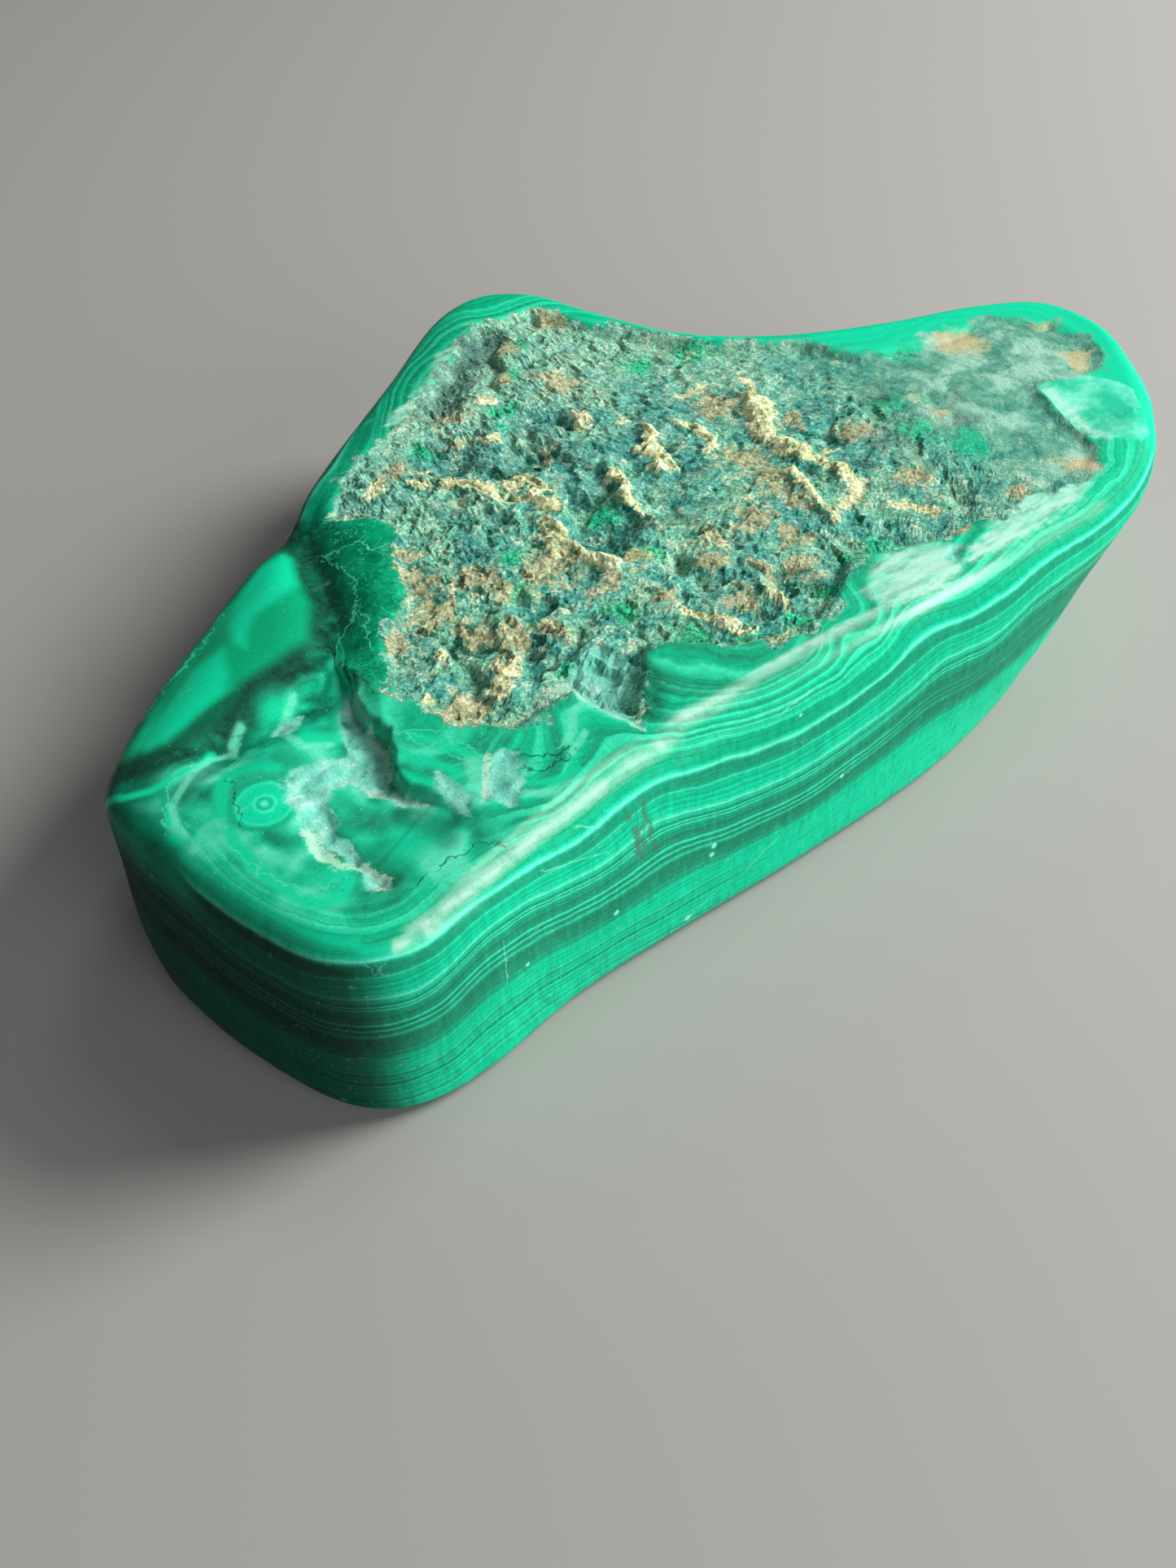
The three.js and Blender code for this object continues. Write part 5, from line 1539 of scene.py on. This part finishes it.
# Each lamp's direction from the stone as the camera sees it (right, ahead, up), its distance,
# its size and its colour. They all point at AIM.
LIGHTS = {
    "window": ((0.25, 0.34, 0.91), 0.6, 0.15, (1.0, 0.99, 0.96)),
    "key": ((0.8, 0.28, 0.66), 0.7, 0.3, (1.0, 0.98, 0.95)),
    "fill": ((0.68, -0.69, 0.26), 1.0, 0.8, (0.97, 0.99, 1.0)),
}
AIM = Vector((0, 0, 0.01))
SKY_COLOUR = (0.93, 0.96, 1.0, 1.0)
FLOOR_SIZE = 3.0
FLOOR_ROUGHNESS = 0.7
CLIP_START = 0.005


def add_light(name, place, size, power, colour):
    light = bpy.data.lights.new(name, "AREA")
    light.shape = "DISK"
    light.size = size
    light.energy = power
    light.color = colour
    lamp = bpy.data.objects.new(name, light)
    lamp.location = place
    lamp.rotation_euler = (AIM - place).to_track_quat("-Z", "Y").to_euler()
    bpy.context.scene.collection.objects.link(lamp)


def in_view(right, ahead, up):
    """A direction given as the camera sees it, in the stone's frame."""
    turn = math.radians(CAMERA_TURN)
    x = right * math.cos(turn) - ahead * math.sin(turn)
    y = right * math.sin(turn) + ahead * math.cos(turn)
    return Vector((x, y, up)).normalized()


class STONE_OT_stage(bpy.types.Operator):
    """Sets the floor, the lights and the camera round the stone"""
    bl_idname = "stone.stage"
    bl_label = "Set Stage"

    def execute(self, context):
        look = context.scene.stage_look
        self.add_floor(look)
        self.add_lights(look)
        self.add_camera(context, look)
        return {"FINISHED"}

    def add_floor(self, look):
        bm = bmesh.new()
        bmesh.ops.create_grid(bm, x_segments=1, y_segments=1, size=FLOOR_SIZE)
        mesh = bpy.data.meshes.new("floor")
        bm.to_mesh(mesh)
        bm.free()
        floor = bpy.data.objects.new("floor", mesh)
        material = bpy.data.materials.new("Pale Floor")
        material.use_nodes = True
        shader = material.node_tree.nodes["Principled BSDF"]
        shader.inputs["Base Color"].default_value = (*look.floor_colour, 1.0)
        shader.inputs["Roughness"].default_value = FLOOR_ROUGHNESS
        mesh.materials.append(material)
        bpy.context.scene.collection.objects.link(floor)

    def add_lights(self, look):
        for name, (direction, distance, size, colour) in LIGHTS.items():
            power = getattr(look, f"{name}_power")
            add_light(name, in_view(*direction) * distance, size, power, colour)
        world = bpy.data.worlds.new("Studio")
        world.use_nodes = True
        background = world.node_tree.nodes["Background"]
        background.inputs["Color"].default_value = SKY_COLOUR
        background.inputs["Strength"].default_value = look.sky
        bpy.context.scene.world = world
        bpy.context.scene.view_settings.view_transform = "Standard"

    def add_camera(self, context, look):
        data = bpy.data.cameras.new("camera")
        data.sensor_width = SENSOR
        data.lens = SENSOR * FOCAL_PIXELS / IMAGE_HEIGHT
        data.clip_start = CLIP_START
        camera = bpy.data.objects.new("camera", data)
        camera.location = (*CAMERA_PLACE, look.camera_height)
        camera.rotation_euler = (math.radians(90 - CAMERA_DOWN), 0, math.radians(CAMERA_TURN))
        context.scene.collection.objects.link(camera)
        context.scene.camera = camera


class STONE_PT_panel(bpy.types.Panel):
    bl_idname = "STONE_PT_panel"
    bl_label = "Polished Malachite Stone"
    bl_space_type = "VIEW_3D"
    bl_region_type = "UI"
    bl_category = "Stone"

    def draw(self, context):
        for settings in (context.scene.stone_form, context.scene.stone_colours, context.scene.stage_look):
            for name in settings.__annotations__:
                self.layout.prop(settings, name)
        self.layout.operator(STONE_OT_build.bl_idname)
        self.layout.operator(STONE_OT_stage.bl_idname)


CLASSES = (StoneForm, StoneColours, StageLook, STONE_OT_build, STONE_OT_stage, STONE_PT_panel)


def register():
    for item in CLASSES:
        bpy.utils.register_class(item)
    bpy.types.Scene.stone_form = bpy.props.PointerProperty(type=StoneForm)
    bpy.types.Scene.stone_colours = bpy.props.PointerProperty(type=StoneColours)
    bpy.types.Scene.stage_look = bpy.props.PointerProperty(type=StageLook)


def unregister():
    del bpy.types.Scene.stage_look
    del bpy.types.Scene.stone_colours
    del bpy.types.Scene.stone_form
    for item in reversed(CLASSES):
        bpy.utils.unregister_class(item)


def main():
    register()
    bpy.ops.stone.build()
    bpy.ops.stone.stage()


if __name__ == "__main__":
    main()
